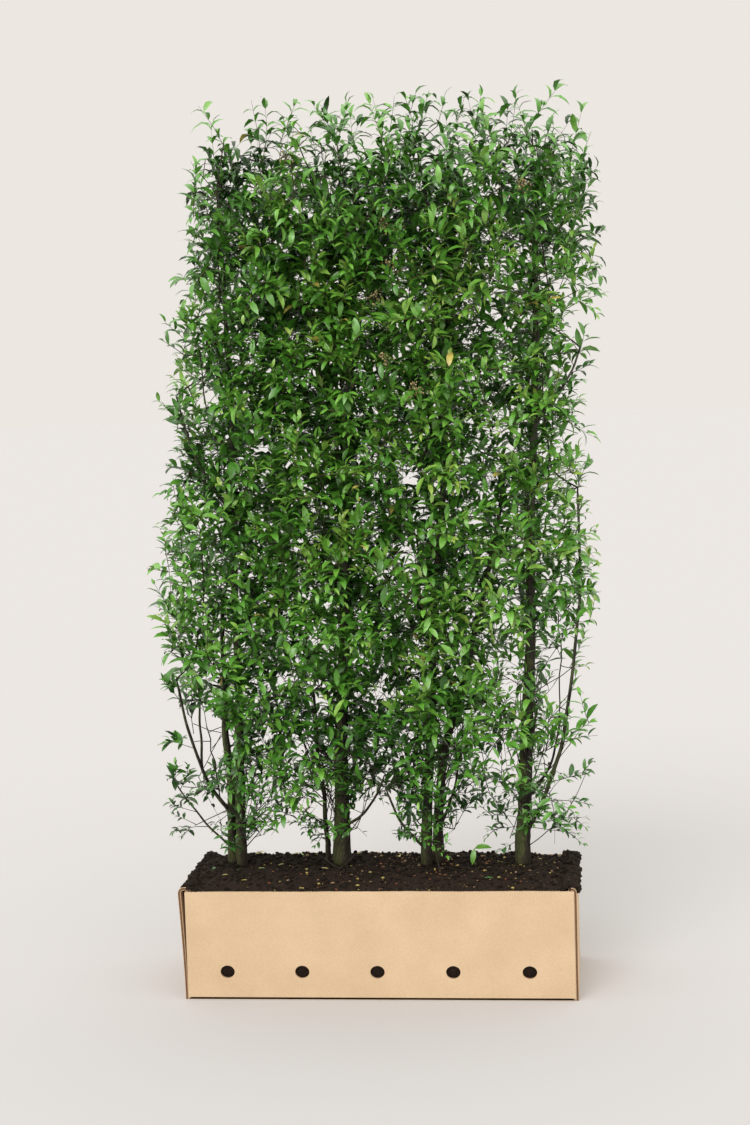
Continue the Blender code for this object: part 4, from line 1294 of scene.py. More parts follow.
def leaf_triangles():
    """The triangles of one leaf: two at its foot, four between one station and the next, two at its tip."""
    shape = [(0, 3, 2), (0, 2, 1)]
    for station in range(len(LEAF_STATIONS) - 1):
        a = 1 + 3 * station
        shape += [(a + 2, a + 5, a + 4), (a + 2, a + 4, a + 1), (a + 1, a + 4, a + 3), (a + 1, a + 3, a)]
    tip = 1 + 3 * len(LEAF_STATIONS)
    return shape + [(tip - 1, tip, tip - 2), (tip - 2, tip, tip - 3)]


def leaf_arrays(rows):
    """The points, triangles and tones of many leaves: elliptic, folded along the midrib and arched."""
    root, ahead, normal = rows[:, 0:3], rows[:, 3:6], rows[:, 6:9]
    length, width, bow = rows[:, 9:10], rows[:, 10:11], rows[:, 11:12]
    across = np.cross(normal, ahead)
    count = 2 + 3 * len(LEAF_STATIONS)
    points = np.empty((len(rows), count, 3))
    points[:, 0] = root
    for station, (part, share) in enumerate(LEAF_STATIONS):
        lift = length * bow * (1.5 * part - 1.9 * part * part)
        middle = root + ahead * length * part + normal * lift
        half = across * width * share / 2
        fold = normal * width * share * LEAF_FOLD
        points[:, 1 + 3 * station] = middle + half + fold
        points[:, 2 + 3 * station] = middle
        points[:, 3 + 3 * station] = middle - half + fold
    points[:, count - 1] = root + ahead * length - normal * length * bow * 0.4
    shape = np.array(leaf_triangles())
    triangles = shape[None] + count * np.arange(len(rows))[:, None, None]
    tones = np.repeat(rows[:, 12].astype(int), len(shape))
    return points.reshape(-1, 3), triangles.reshape(-1, 3), tones


def leaf_tips(rows):
    return rows[:, 0:3] + rows[:, 3:6] * rows[:, 9:10] - rows[:, 6:9] * rows[:, 9:10] * rows[:, 11:12] * 0.4


def leaf_middles(rows):
    return rows[:, 0:3] + rows[:, 3:6] * rows[:, 9:10] / 2


def read_table(table, values):
    """Reads many values at once from a short table of (place, value)."""
    return np.interp(values, [row[0] for row in table], [row[1] for row in table])


def inside_crown(points, margin):
    """Which of many points stay in the crown's outline, or near enough to it."""
    x, y, z = points[:, 0], points[:, 1], points[:, 2]
    rise = np.clip((z - CROWN_FOOT) / (CROWN_FULL_FROM - CROWN_FOOT), 0.0, 1.0)
    depth = CROWN_FOOT_HALF_DEPTH + (CROWN_HALF_DEPTH - CROWN_FOOT_HALF_DEPTH) * rise
    inside = (x > read_table(CROWN_LEFT, z) - margin) & (x < read_table(CROWN_RIGHT, z) + margin)
    return inside & (np.abs(y) < depth + margin / 2) & (z < CROWN_TOP + margin) & (z > LOWEST_LEAF)


def anchor_tree(plants):
    """A search tree of all the shoot tips and twig joints, and the plant that each belongs to."""
    anchors = []
    for plant in plants:
        anchors += [(point, plant) for point in plant["anchors"]]
        anchors += [(line[-1], plant) for line, _, _ in plant["sprigs"]]
    return point_tree([point for point, _ in anchors]), anchors


def add_leader(tree, anchors, tip, reach, lean, bare, tone, rng):
    """A long shoot to a tip, leaning from upright, from the twig nearest to where it should start."""
    start = tip - Vector((math.sin(lean), 0.0, math.cos(lean))) * reach
    anchor, index, _ = tree.find(start)
    plant = anchors[index][1]
    away = tip - anchor
    face = Vector((0.0, -1.0, 0.3)).normalized()
    grow_sprig(
        plant, anchor, away.normalized(), face, away.length, rng,
        droop=LEADER_DROOP, tone=tone, young=LEADER_YOUNG, bare=bare,
    )


def add_leaders(plants):
    """The long shoots that break the outline: those of the photo, and a row of others along the top."""
    rng = random.Random(LEADER_SEED)
    tree, anchors = anchor_tree(plants)
    for x, y, z, reach, lean, bare in LEADERS:
        tone = LEADER_TONE if z > TOP_LEADER_FROM else None
        add_leader(tree, anchors, Vector((x, y, z)), reach, lean, bare, tone, rng)
    first, last = DENSE_TOP[0][0], DENSE_TOP[-1][0]
    for k in range(TOP_SHOOTS):
        x = first + (last - first) * (k + rng.random()) / TOP_SHOOTS
        y = rng.uniform(-TOP_SPREAD, TOP_SPREAD) * CROWN_HALF_DEPTH
        z = min(between(DENSE_TOP, x) + TOP_RISE * rng.random() ** 1.5, CROWN_TOP - CROWN_MARGIN)
        reach = rng.uniform(*TOP_REACH)
        lean = rng.gauss(0.0, TOP_LEAN)
        add_leader(tree, anchors, Vector((x, y, z)), reach, lean, 0.0, None, rng)


def cover_limbs(plants, lines):
    """Leafy shoots from the upper stems and boughs, which hide most of them."""
    for index, name in enumerate(lines):
        rng = random.Random(COVER_SEED + index)
        upper = [point for point in lines[name][0] if point.z > COVERED_FROM]
        if len(upper) > 2:
            grow_along(plant_of(name, plants), upper, mass_outward("front"), 0, STEM_SPRIG_GAP, rng)


def add_bare_twigs(plants, lines):
    """Bare thin twigs round the stems' feet."""
    for index, name in enumerate(lines):
        if name not in STEMS:
            continue
        rng = random.Random(BARE_SEED + index)
        for _ in range(BARE_TWIGS):
            at = line_at_height(lines[name], rng.uniform(*BARE_HEIGHTS))
            turn = rng.uniform(0.0, 2 * math.pi)
            rise = rng.uniform(*BARE_RISE)
            out = Vector((math.cos(turn), 0.6 * math.sin(turn), 0.0))
            ahead = (out * math.cos(rise) + UP * math.sin(rise)).normalized()
            grow_bare(plant_of(name, plants), at, ahead, rng.uniform(*BARE_REACH), BARE_RADIUS, rng, 2)


def add_low_sprays(plants, lines):
    """The leafy twigs that stand out under the crown, each with two small side shoots."""
    rng = random.Random(LOW_SEED)
    for name, height, tip, bare in LOW_SPRAYS:
        plant = plant_of(name, plants)
        start = line_at_height(lines[name], height)
        away = Vector(tip) - start
        ahead = away.normalized()
        face = Vector((0.0, -0.6, 0.8))
        middle = grow_sprig(plant, start, ahead, face, away.length, rng, droop=0.0, bare=bare)
        for part in LOW_SIDES_FROM:
            side = square_to(jitter(rng), ahead)
            heading = (ahead * 0.8 + side * 0.6).normalized()
            at = part_of(middle, max(part, bare))
            grow_sprig(plant, at, heading, face, away.length * LOW_SIDE_SHARE, rng, droop=0.0)


def grow_bare(plant, start, ahead, length, radius, rng, order):
    """A thin, crooked, nearly leafless twig with a few side twigs."""
    line = [start]
    heading = ahead
    for _ in range(BARE_STEPS):
        heading = (heading + BARE_WANDER * jitter(rng) + BARE_CLIMB * UP).normalized()
        line.append(line[-1] + heading * length / BARE_STEPS)
    if not inside_crown(np.array([line[-1]]), 0.0)[0] or in_open_place(line[3]) or in_open_place(line[-1]):
        return
    radii = [radius * (1 - BARE_TAPER * k / BARE_STEPS) for k in range(BARE_STEPS + 1)]
    plant["twigs"].append((line, radii, 4, 0))
    plant["anchors"].append(line[-1])
    if order:
        for k in range(2, BARE_STEPS):
            if rng.random() < BARE_BRANCHING:
                side = square_to(jitter(rng), heading)
                branch = (heading * 0.75 + side * 0.66).normalized()
                reach = length * BARE_SIDE_LENGTH
                grow_bare(plant, line[k], branch, reach, radius * BARE_SIDE_RADIUS, rng, order - 1)
    if line[-1].z > LOW_LEAFY_FROM and rng.random() < LOW_LEAFINESS:
        grow_sprig(plant, line[-1], heading, Vector((0, -0.7, 0.7)), rng.uniform(*LOW_SHOOT), rng)


def seen_from_front(points):
    """Where the photo's view sees many points, on the plane through the stems."""
    share = points[:, 1] / -CAMERA_PLACE[1]
    seen_x = (points[:, 0] + CAMERA_PLACE[0] * share) / (1 + share)
    seen_z = (points[:, 2] + CAMERA_PLACE[2] * share) / (1 + share)
    return seen_x, seen_z


def in_open_place(point):
    """Whether the photo's view sees a point in one of the places that are almost all sky."""
    seen_x, seen_z = seen_from_front(np.array([point]))
    for middle_x, middle_z, half_x, half_z, share in SKY_GAPS:
        off = ((seen_x[0] - middle_x) / half_x) ** 2 + ((seen_z[0] - middle_z) / half_z) ** 2
        if share > OPEN_SHARE and off < 1.0:
            return True
    return False


def cell_of(points):
    """The cell of the front view that each of many points falls in."""
    seen_x, seen_z = seen_from_front(points)
    columns = np.clip(((seen_x - SKY_LOW[0]) / SKY_CELL).astype(int), 0, SKY_CELLS[0] - 1)
    rows = np.clip(((seen_z - SKY_LOW[1]) / SKY_CELL).astype(int), 0, SKY_CELLS[1] - 1)
    return columns, rows


def wanted_leaves():
    """How many leaves each cell of the front view needs, for the sky to show between them as it should."""
    x = (SKY_LOW[0] + SKY_CELL * (np.arange(SKY_CELLS[0]) + 0.5))[:, None]
    z = (SKY_LOW[1] + SKY_CELL * (np.arange(SKY_CELLS[1]) + 0.5))[None]
    sky = np.zeros(SKY_CELLS)
    heights = [row[0] for row in SKY_SHARES]
    for row in range(SKY_CELLS[1]):
        shares = [np.interp(z[0, row], heights, [known[k] for known in SKY_SHARES]) for k in range(1, 5)]
        sky[:, row] = np.interp(x[:, 0], SKY_COLUMNS, shares)
    inside = np.minimum(x - read_table(DENSE_LEFT, z), read_table(DENSE_RIGHT, z) - x)
    under = read_table(DENSE_TOP, x) - z
    fall = np.clip(inside / EDGE_FALL + 0.3, 0.0, 1.0) * np.clip(under / TOP_FALL + 0.3, 0.0, 1.0)
    for middle_x, middle_z, half_x, half_z, share in SKY_GAPS:
        off = ((x - middle_x) / half_x) ** 2 + ((z - middle_z) / half_z) ** 2
        sky = np.maximum(sky, share * np.clip(1.7 - off, 0.0, 1.0))
    return -np.log(np.clip(sky, 0.002, 0.99)) * fall * SKY_CELL ** 2 / LEAF_SHADE


def count_leaves(plants):
    """How many leaves each cell of the front view has."""
    counts = np.zeros(SKY_CELLS)
    for plant in plants:
        rows = np.concatenate([leaves for _, _, leaves in plant["sprigs"]])
        np.add.at(counts, cell_of(leaf_middles(rows)), 1)
    return counts


def fill_thin_places(plants, wanted):
    """More shoots from the nearest twig wherever the front view has too few leaves."""
    rng = random.Random(INFILL_SEED)
    tree, anchors = anchor_tree(plants)
    counts = count_leaves(plants)
    for _ in range(MOST_INFILL):
        lack = np.maximum(wanted - counts, 0.0).ravel()
        lack[lack < LEAST_LACK] = 0.0
        total = lack.cumsum()
        if total[-1] <= 0:
            break
        column, row = divmod(int(np.searchsorted(total, rng.random() * total[-1])), SKY_CELLS[1])
        seen_x = SKY_LOW[0] + SKY_CELL * (column + rng.random())
        seen_z = SKY_LOW[1] + SKY_CELL * (row + rng.random())
        y = crown_half_depth(seen_x, seen_z) * rng.uniform(-INFILL_DEPTH, INFILL_DEPTH)
        share = y / -CAMERA_PLACE[1]
        x = seen_x * (1 + share) - CAMERA_PLACE[0] * share
        z = seen_z * (1 + share) - CAMERA_PLACE[2] * share
        target = Vector((x, y, z))
        near = tree.find_n(target - UP * INFILL_BELOW, INFILL_CHOICES)
        near = [found for found in near if (found[0] - target).length > INFILL_APART]
        if not near:
            counts[column, row] += 1
            continue
        anchor, index, _ = near[0]
        away = (target - anchor).length
        ahead = ((target - anchor).normalized() + UP * 0.35 * CLIMB).normalized()
        face = (mass_outward("front" if y < 0 else "back") + UP * 0.4).normalized()
        length = max(away * INFILL_OVERSHOOT, INFILL_SHORTEST)
        plant = anchors[index][1]
        grow_sprig(plant, anchor, ahead, face, length, rng, bare=max(0.0, 1 - INFILL_LEAFY / length))
        np.add.at(counts, cell_of(leaf_middles(plant["sprigs"][-1][2])), 1)
        counts[column, row] += 0.5


def in_outline(leaves):
    """Which of many leaves stay in the crown's outline."""
    tips_in = inside_crown(leaf_tips(leaves), CROWN_MARGIN)
    return tips_in & inside_crown(leaf_middles(leaves), CROWN_MARGIN) & inside_crown(leaves[:, 0:3], 0.0)


def keep_shoots(plants, kept_leaves):
    """Keeps the leaves that a rule leaves to each shoot, and only the shoots that still have two or more."""
    for plant in plants:
        kept = []
        for line, radii, leaves in plant["sprigs"]:
            leaves = kept_leaves(line, leaves)
            if len(leaves) > 1:
                kept.append((line, radii, leaves))
        plant["sprigs"] = kept


def drop_outer_leaves(plants):
    """Takes away the leaves that leave the crown's outline, and the shoots whose tip does."""
    def kept_leaves(line, leaves):
        leaves = leaves[in_outline(leaves)]
        return leaves if inside_crown(np.array([line[-1]]), CROWN_MARGIN)[0] else leaves[:0]

    keep_shoots(plants, kept_leaves)


def dots_along(line):
    """Points along a line, close enough together to find whatever starts on it."""
    for before, after in zip(line, line[1:]):
        parts = max(1, int((after - before).length / DOT_GAP))
        for k in range(parts):
            yield before.lerp(after, k / parts)
    yield line[-1]


def drop_loose_shoots(plants, lines):
    """Takes away the shoots that start on nothing, until a twig, a limb or another shoot carries each."""
    fixed = [dot for points, _ in lines.values() for dot in dots_along(points)]
    for plant in plants:
        fixed += [dot for tube in plant["twigs"] for dot in dots_along(tube[0])]
    dropped = True
    while dropped:
        dropped = False
        dots = [(dot, -1) for dot in fixed]
        for plant in plants:
            for number, (line, _, _) in enumerate(plant["sprigs"]):
                dots += [(dot, (plant["number"], number)) for dot in dots_along(line)]
        tree = point_tree([dot for dot, _ in dots])
        for plant in plants:
            kept = []
            for number, sprig in enumerate(plant["sprigs"]):
                near = tree.find_range(sprig[0][0], CARRIER_REACH)
                if any(dots[index][1] != (plant["number"], number) for _, index, _ in near):
                    kept.append(sprig)
            dropped = dropped or len(kept) < len(plant["sprigs"])
            plant["sprigs"] = kept


def trim_bare_ends(plants):
    """Shortens the highest twigs back to the last shoot or side twig that starts on them."""
    starts = [tube[0][0] for plant in plants for tube in plant["twigs"]]
    starts += [line[0] for plant in plants for line, _, _ in plant["sprigs"]]
    tree = point_tree(starts)
    for plant in plants:
        trimmed = []
        for line, radii, sides, tone in plant["twigs"]:
            while len(line) > 2 and line[-1].z > TRIM_FROM:
                last_run = list(dots_along(line[-2:]))[1:]
                if any(tree.find(dot)[2] < TRIM_REACH for dot in last_run):
                    break
                line = line[:-1]
                radii = radii[:-1]
            trimmed.append((line, radii, sides, tone))
        plant["twigs"] = trimmed


def thin_shoots(plants, wanted, chance):
    """Takes whole shoots away where the front view has too many leaves."""
    share = np.minimum(OVERFULL * wanted / np.maximum(count_leaves(plants), 1.0), 1.0)

    def kept_leaves(_, leaves):
        column, row = cell_of(leaf_middles(leaves).mean(axis=0)[None])
        return leaves if chance.random() < share[column[0], row[0]] else leaves[:0]

    keep_shoots(plants, kept_leaves)


def small_gaps():
    """Small places where the sky shows through, scattered over the crown, in the same form as SKY_GAPS."""
    rng = random.Random(GAP_SEED)
    gaps = []
    for _ in range(SMALL_GAPS):
        z = rng.uniform(*SMALL_GAP_HEIGHTS)
        x = rng.uniform(between(DENSE_LEFT, z), between(DENSE_RIGHT, z))
        gaps.append((x, z, rng.uniform(*SMALL_GAP_SIZE), rng.uniform(*SMALL_GAP_SIZE), SMALL_GAP_SHARE))
    return gaps


def open_gaps(plants, gaps, chance):
    """Takes away the leaves whose middle the photo's view sees in a gap, and the shoots that cross one."""
    def kept_leaves(line, leaves):
        points = np.concatenate([leaf_middles(leaves), np.array(line[1:])])
        seen_x, seen_z = seen_from_front(points)
        hidden = np.zeros(len(points), dtype=bool)
        reach = np.where(np.arange(len(points)) < len(leaves), 1.0, SHOOT_GAP)
        for middle_x, middle_z, half_x, half_z, share in gaps:
            off = ((seen_x - middle_x) / half_x) ** 2 + ((seen_z - middle_z) / half_z) ** 2
            hidden |= (off < reach) & (chance.random(len(points)) < share)
        crossed = hidden[len(leaves):].any()
        return leaves[:0] if crossed else leaves[~hidden[:len(leaves)]]

    keep_shoots(plants, kept_leaves)


def build_plants(lines):
    """The joined leaves and twigs of each plant."""
    plants = [{"number": k, "sprigs": [], "twigs": [], "anchors": []} for k in range(len(MAIN_STEMS))]
    sprays = all_sprays(lines)
    dress_masses(plants, sprays)
    add_bare_twigs(plants, lines)
    for plant in plants:
        plant["twigs"] = [tube for tube in plant["twigs"] if inside_crown(np.array([tube[0][-1]]), 0.0)[0]]
    chance = np.random.default_rng(THINNING_SEED)
    wanted = wanted_leaves()
    drop_outer_leaves(plants)
    thin_shoots(plants, wanted, chance)
    drop_loose_shoots(plants, lines)
    fill_thin_places(plants, wanted)
    open_gaps(plants, small_gaps() + list(SKY_GAPS), chance)
    cover_limbs(plants, lines)
    add_leaders(plants)
    add_low_sprays(plants, lines)
    drop_outer_leaves(plants)
    drop_loose_shoots(plants, lines)
    trim_bare_ends(plants)
    dress_heads(plants)
    for number, plant in enumerate(plants, 1):
        points, triangles, tones = leaf_arrays(np.concatenate([leaves for _, _, leaves in plant["sprigs"]]))
        leaves = triangle_object(f"leaves_{number}", points, triangles, leaf_materials, tones)
        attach(leaves, "root")
        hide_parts(*[name for name in sprays if name.startswith(f"mass_{number}_")])
        shoots = []
        for line, radii, _ in plant["sprigs"]:
            shoots.append((line, radii, SPRIG_SIDES, int(line[0].z > GREEN_FROM)))
        points, triangles, tones = join_tubes(plant["twigs"] + shoots)
        twigs = triangle_object(f"twigs_{number}", points, triangles, twig_materials, tones)
        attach(twigs, "root")


def fine_line(points, radii, lengths, count):
    """The points and radii at equal steps along a line, whose points are at some lengths from its start."""
    fine = []
    thick = []
    part = 0
    for i in range(count + 1):
        run = lengths[-1] * i / count
        while part < len(lengths) - 2 and lengths[part + 1] < run:
            part += 1
        share = (run - lengths[part]) / max(lengths[part + 1] - lengths[part], 1e-9)
        fine.append(points[part].lerp(points[part + 1], min(share, 1.0)))
        thick.append(radii[part] + (radii[part + 1] - radii[part]) * min(share, 1.0))
    return fine, thick


def relief_limb(line, sides, step, seed):
    """A limb's tube with fine rings, drawn out of round by bark ridges, swellings and joints."""
    points, radii = line
    lengths = [0.0]
    for before, after in zip(points, points[1:]):
        lengths.append(lengths[-1] + (after - before).length)
    count = max(6, round(lengths[-1] / step))
    fine, thick = fine_line(points, radii, lengths, count)
    smooth = []
    for i in range(count + 1):
        near = fine[max(i - SMOOTH_REACH, 0):i + SMOOTH_REACH + 1]
        inner = SMOOTH_REACH <= i <= count - SMOOTH_REACH
        smooth.append(sum(near, Vector()) / len(near) if inner else fine[i])
    vertices, faces = tube_mesh(smooth, [1.0] * (count + 1), sides, level_foot=points[0].z < LEVEL_UNDER)
    shaped = []
    for i in range(count + 1):
        centre = smooth[i]
        run = lengths[-1] * i / count
        joint = math.exp(-((run + 0.013 * seed) % JOINT_GAP - JOINT_PLACE) ** 2 / JOINT_SPREAD)
        for k in range(sides):
            out = vertices[i * sides + k] - centre
            swell = noise.noise(Vector((out.x * 2.2, out.y * 2.2, run * 9.0 + seed)))
            furrow = noise.noise(Vector((out.x * 5.0, out.y * 5.0, run * 26.0 + seed)))
            radius = thick[i] * (1 + BARK_SWELL * swell + BARK_RIDGE * furrow + JOINT_SWELL * joint)
            shaped.append(centre + out * radius)
    return shaped, faces


def stem_share(height):
    """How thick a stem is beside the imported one: less flared at its foot and a little stouter above it."""
    stouter = STEM_STOUTER * math.exp(-height / STOUTER_HEIGHT)
    return 1.0 + stouter - FOOT_SLIMMER * math.exp(-height / SLIMMER_HEIGHT)


def dress_limbs(lines):
    """Bark with relief in place of the plain stems and boughs, one piece for each plant."""
    for number in range(1, len(MAIN_STEMS) + 1):
        names = [name for name in lines if name.split("_")[1] == str(number)]
        points = []
        triangles = []
        for seed, name in enumerate(names):
            line, radii = lines[name]
            if name in STEMS:
                sides, step = STEM_DETAIL
                radii = [radius * stem_share(point.z - line[0].z) for point, radius in zip(line, radii)]
            else:
                sides, step = BOUGH_DETAIL
                radii = [radius * BOUGH_SHARE for radius in radii]
            some_points, some_faces = relief_limb((line, radii), sides, step, 3.7 * seed + number)
            add_shape(points, triangles, some_points, fan(some_faces))
        bark = triangle_object(f"bark_{number}", points, triangles, [bark_material])
        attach(bark, "root")
        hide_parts(*names)


def grid_faces(columns, rows):
    """The faces of a grid of points that runs row by row."""
    faces = []
    for i in range(columns):
        for j in range(rows):
            a = i * (rows + 1) + j
            faces.append((a, a + rows + 1, a + rows + 2, a + 1))
    return faces


def fine_soil_height(x, y, half_x, half_y):
    """The packed soil's height, broken up into clods, and never higher than its own at the stems' feet."""
    height = soil_height(x, y, half_x, half_y)
    edge = max(abs(x) / half_x, abs(y) / half_y)
    clods = noise.noise(Vector((x * 38.0, y * 38.0, 2.0))) * LARGE_CLODS
    clods += abs(noise.noise(Vector((x * 90.0, y * 90.0, 5.0)))) * SMALL_CLODS
    clods += noise.noise(Vector((x * 240.0, y * 240.0, 9.0))) * SOIL_GRAIN
    return height + clods * (1.0 - 0.55 * edge ** 10) - SOIL_SETTLED


def dress_soil():
    """The soil's rough top with its sides, in place of the plain block."""
    low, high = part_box("soil")
    half_x, half_y = high.x, high.y
    columns, rows = SOIL_GRID
    points = []
    for i in range(columns + 1):
        for j in range(rows + 1):
            x = -half_x + 2 * half_x * i / columns
            y = -half_y + 2 * half_y * j / rows
            points.append((x, y, fine_soil_height(x, y, half_x, half_y)))
    faces = grid_faces(columns, rows)
    rim = [i * (rows + 1) for i in range(columns)] + [columns * (rows + 1) + j for j in range(rows)]
    rim += [i * (rows + 1) + rows for i in range(columns, 0, -1)] + [j for j in range(rows, 0, -1)]
    first = len(points)
    points += [(points[k][0], points[k][1], low.z) for k in rim]
    for k in range(len(rim)):
        after = (k + 1) % len(rim)
        faces.append((rim[k], first + k, first + after, rim[after]))
    faces.append(tuple(range(len(points) - 1, first - 1, -1)))
    soil = triangle_object("soil_top", points, fan(faces), soil_materials[:1])
    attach(soil, "root")
    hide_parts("soil")
    return half_x, half_y


def icosahedron():
    """The twelve corners of a regular icosahedron whose edges are 2 long."""
    golden = (1 + math.sqrt(5)) / 2
    corners = []
    for a in (-1, 1):
        for b in (-golden, golden):
            corners += [Vector((a, b, 0)), Vector((0, a, b)), Vector((b, 0, a))]
    return corners


def lump(centre, size, flat, rng, rough=0.35):
    """A small rough stone-like clod: an icosahedron with every corner pushed in or out."""
    turn = Quaternion(jitter(rng).normalized(), rng.uniform(0, 2 * math.pi))
    points = []
    for corner in icosahedron():
        point = turn @ (corner.normalized() * size * rng.uniform(1 - rough, 1 + rough))
        points.append(centre + Vector((point.x, point.y, point.z * flat)))
    return points


def lump_faces():
    """The twenty faces of a lump: every three corners of the icosahedron that are an edge apart."""
    corners = icosahedron()
    faces = []
    for i, j, k in combinations(range(len(corners)), 3):
        a, b, c = corners[i], corners[j], corners[k]
        if max((a - b).length, (b - c).length, (a - c).length) > LUMP_EDGE:
            continue
        out = (b - a).cross(c - a).dot(a) > 0
        faces.append((i, j, k) if out else (i, k, j))
    return faces


def scatter_lumps(name, half_x, half_y, materials, rng, count, sizes, flat, sink, most_at=None):
    """Crumbs lying in the soil's top, joined into one piece, evenly or most of them at one place along it."""
    shape = lump_faces()
    points = []
    triangles = []
    tones = []
    for _ in range(count):
        x = half_x * (rng.uniform(-0.99, 0.99) if most_at is None else rng.triangular(-0.99, 0.99, most_at))
        y = half_y * rng.uniform(-0.97, 0.97)
        size = sizes[0] + (sizes[1] - sizes[0]) * rng.random() ** 3
        z = fine_soil_height(x, y, half_x, half_y) + size * (flat - sink)
        add_shape(points, triangles, lump(Vector((x, y, z)), size, flat, rng), shape)
        tones += [rng.randrange(len(materials))] * len(shape)
    piece = triangle_object(name, points, triangles, materials, tones, smooth=False)
    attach(piece, "root")


def spill_point(side, across, y):
    """A place on the soil that lies over an end board's rim, from the inside (0) to its outer edge (1)."""
    profile = SPILL_PROFILES[side]
    step = min(int(across * (len(profile) - 1)), len(profile) - 2)
    share = across * (len(profile) - 1) - step
    x = profile[step][0] + (profile[step + 1][0] - profile[step][0]) * share
    z = profile[step][1] + (profile[step + 1][1] - profile[step][1]) * share
    end = min((TRAY_DEPTH / 2 - abs(y)) / SPILL_END_RUN, 1.0)
    rough = noise.noise(Vector((x * 60.0, y * 45.0, 7.0))) * SPILL_CLODS
    rough += noise.noise(Vector((x * 150.0, y * 150.0, 3.0))) * SPILL_GRAIN
    middle = math.sin(math.pi * across)
    return Vector((side * (x + middle * rough * 0.5), y, z + middle * (rough - SPILL_END_DROP * (1 - end))))


def dress_spill(side, rng):
    """Soil heaped over the rim of an end board, with crumbs on it."""
    rows, columns = SPILL_GRID
    half_y = TRAY_DEPTH / 2 - SPILL_INSET
    points = []
    for i in range(rows + 1):
        y = half_y * (2 * i / rows - 1)
        points += [tuple(spill_point(side, j / columns, y)) for j in range(columns + 1)]
    triangles = fan(grid_faces(rows, columns))
    if side < 0:
        triangles = [(c, b, a) for a, b, c in triangles]
    tones = [0] * len(triangles)
    shape = lump_faces()
    for _ in range(SPILL_CRUMBS):
        centre = spill_point(side, rng.uniform(0.15, 0.92), rng.uniform(-0.97, 0.97) * half_y)
        size = 0.0015 + (0.0085 + 0.0020 * side) * rng.random() ** 2
        add_shape(points, triangles, lump(centre, size, 0.8, rng), shape)
        tones += [rng.randrange(2)] * len(shape)
    name = "spill_left" if side < 0 else "spill_right"
    piece = triangle_object(name, points, triangles, soil_materials, tones, smooth=False)
    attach(piece, "root")


def fallen_leaves(half_x, half_y, rng):
    """Leaves that lie on the soil, some of them close together at the left."""
    rows = []
    for _ in range(FALLEN_LEAVES):
        x = rng.uniform(-0.95, 0.95) * half_x
        y = rng.uniform(-0.95, 0.95) * half_y
        if rng.random() < 0.3:
            x = -0.37 + rng.gauss(0.0, 0.05)
        z = fine_soil_height(x, y, half_x, half_y) + 0.004
        ahead = Vector((rng.uniform(-1, 1), rng.uniform(-1, 1), rng.uniform(-0.1, 0.25))).normalized()
        normal = square_to(UP + 0.5 * jitter(rng), ahead)
        size = rng.uniform(0.014, 0.034)
        rows.append((x, y, z, *ahead, *normal, size, size * 0.34, 0.15, rng.choice(FALLEN_TONES)))
    return rows


def fine_bits(half_x, half_y, rng):
    """Fine bits of twig that lie on the soil, each bent a little in its middle."""
    tubes = []
    for _ in range(FINE_BITS):
        x = rng.uniform(-0.95, 0.95) * half_x
        y = rng.uniform(-0.95, 0.95) * half_y
        turn = rng.uniform(0, math.pi)
        reach = rng.uniform(0.008, 0.028)
        ends = [(x - math.cos(turn) * reach, y - math.sin(turn) * reach), (x, y)]
        ends.append((x + math.cos(turn + 0.3) * reach, y + math.sin(turn + 0.3) * reach))
        kept = [(clamp(a, -half_x, half_x), clamp(b, -half_y, half_y)) for a, b in ends]
        line = [Vector((a, b, fine_soil_height(a, b, half_x, half_y) + 0.0015)) for a, b in kept]
        tubes.append((line, [0.0008, 0.0009, 0.0005], 4, 0))
    return tubes


def dress_ground(half_x, half_y):
    """Crumbs, bits of bark, fallen leaves, a seedling and dead twigs on the soil."""
    rng = random.Random(GROUND_SEED)
    dress_spill(-1, rng)
    dress_spill(1, rng)
    scatter_lumps(
        "crumbs", half_x, half_y, soil_materials, rng,
        count=2600, sizes=(0.0016, 0.0070), flat=0.8, sink=0.3,
    )
    scatter_lumps(
        "bark_bits", half_x, half_y, bit_materials, rng,
        count=620, sizes=(0.0012, 0.0055), flat=0.5, sink=0.1, most_at=0.7,
    )
    rows = fallen_leaves(half_x, half_y, rng)
    foot = Vector((*SEEDLING_FOOT, fine_soil_height(*SEEDLING_FOOT, half_x, half_y)))
    crest = foot + Vector((0.002, -0.004, 0.050))
    for heading, facing, size in SEEDLING_LEAVES:
        ahead = Vector(heading).normalized()
        normal = square_to(Vector(facing), ahead)
        rows.append((*crest, *ahead, *normal, size, size * 0.36, 0.35, 4))
    points, triangles, tones = leaf_arrays(np.array(rows))
    litter = triangle_object("fallen_leaves", points, triangles, leaf_materials, tones)
    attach(litter, "root")
    stalk = [foot - UP * 0.004, foot.lerp(crest, 0.5) + Vector((0.002, 0, 0)), crest]
    tubes = [(stalk, [0.0011, 0.001, 0.0009], 5, 1)]
    for line, radius in DEAD_TWIGS:
        points = []
        for x, y, z in line:
            ground = fine_soil_height(x, y, half_x, half_y) + radius * 0.5
            points.append(Vector((x, y, max(z, ground))))
        thick = [radius * (1 - 0.45 * k / (len(points) - 1)) for k in range(len(points))]
        doubled = [value for value in thick for _ in range(2)][:2 * len(points) - 1]
        tubes.append((wavy(points, 0.05, rng, 2), doubled, 5, 0))
    tubes += fine_bits(half_x, half_y, rng)
    points, triangles, tones = join_tubes(tubes)
    sticks = triangle_object("dead_twigs", points, triangles, twig_materials, tones)
    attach(sticks, "root")


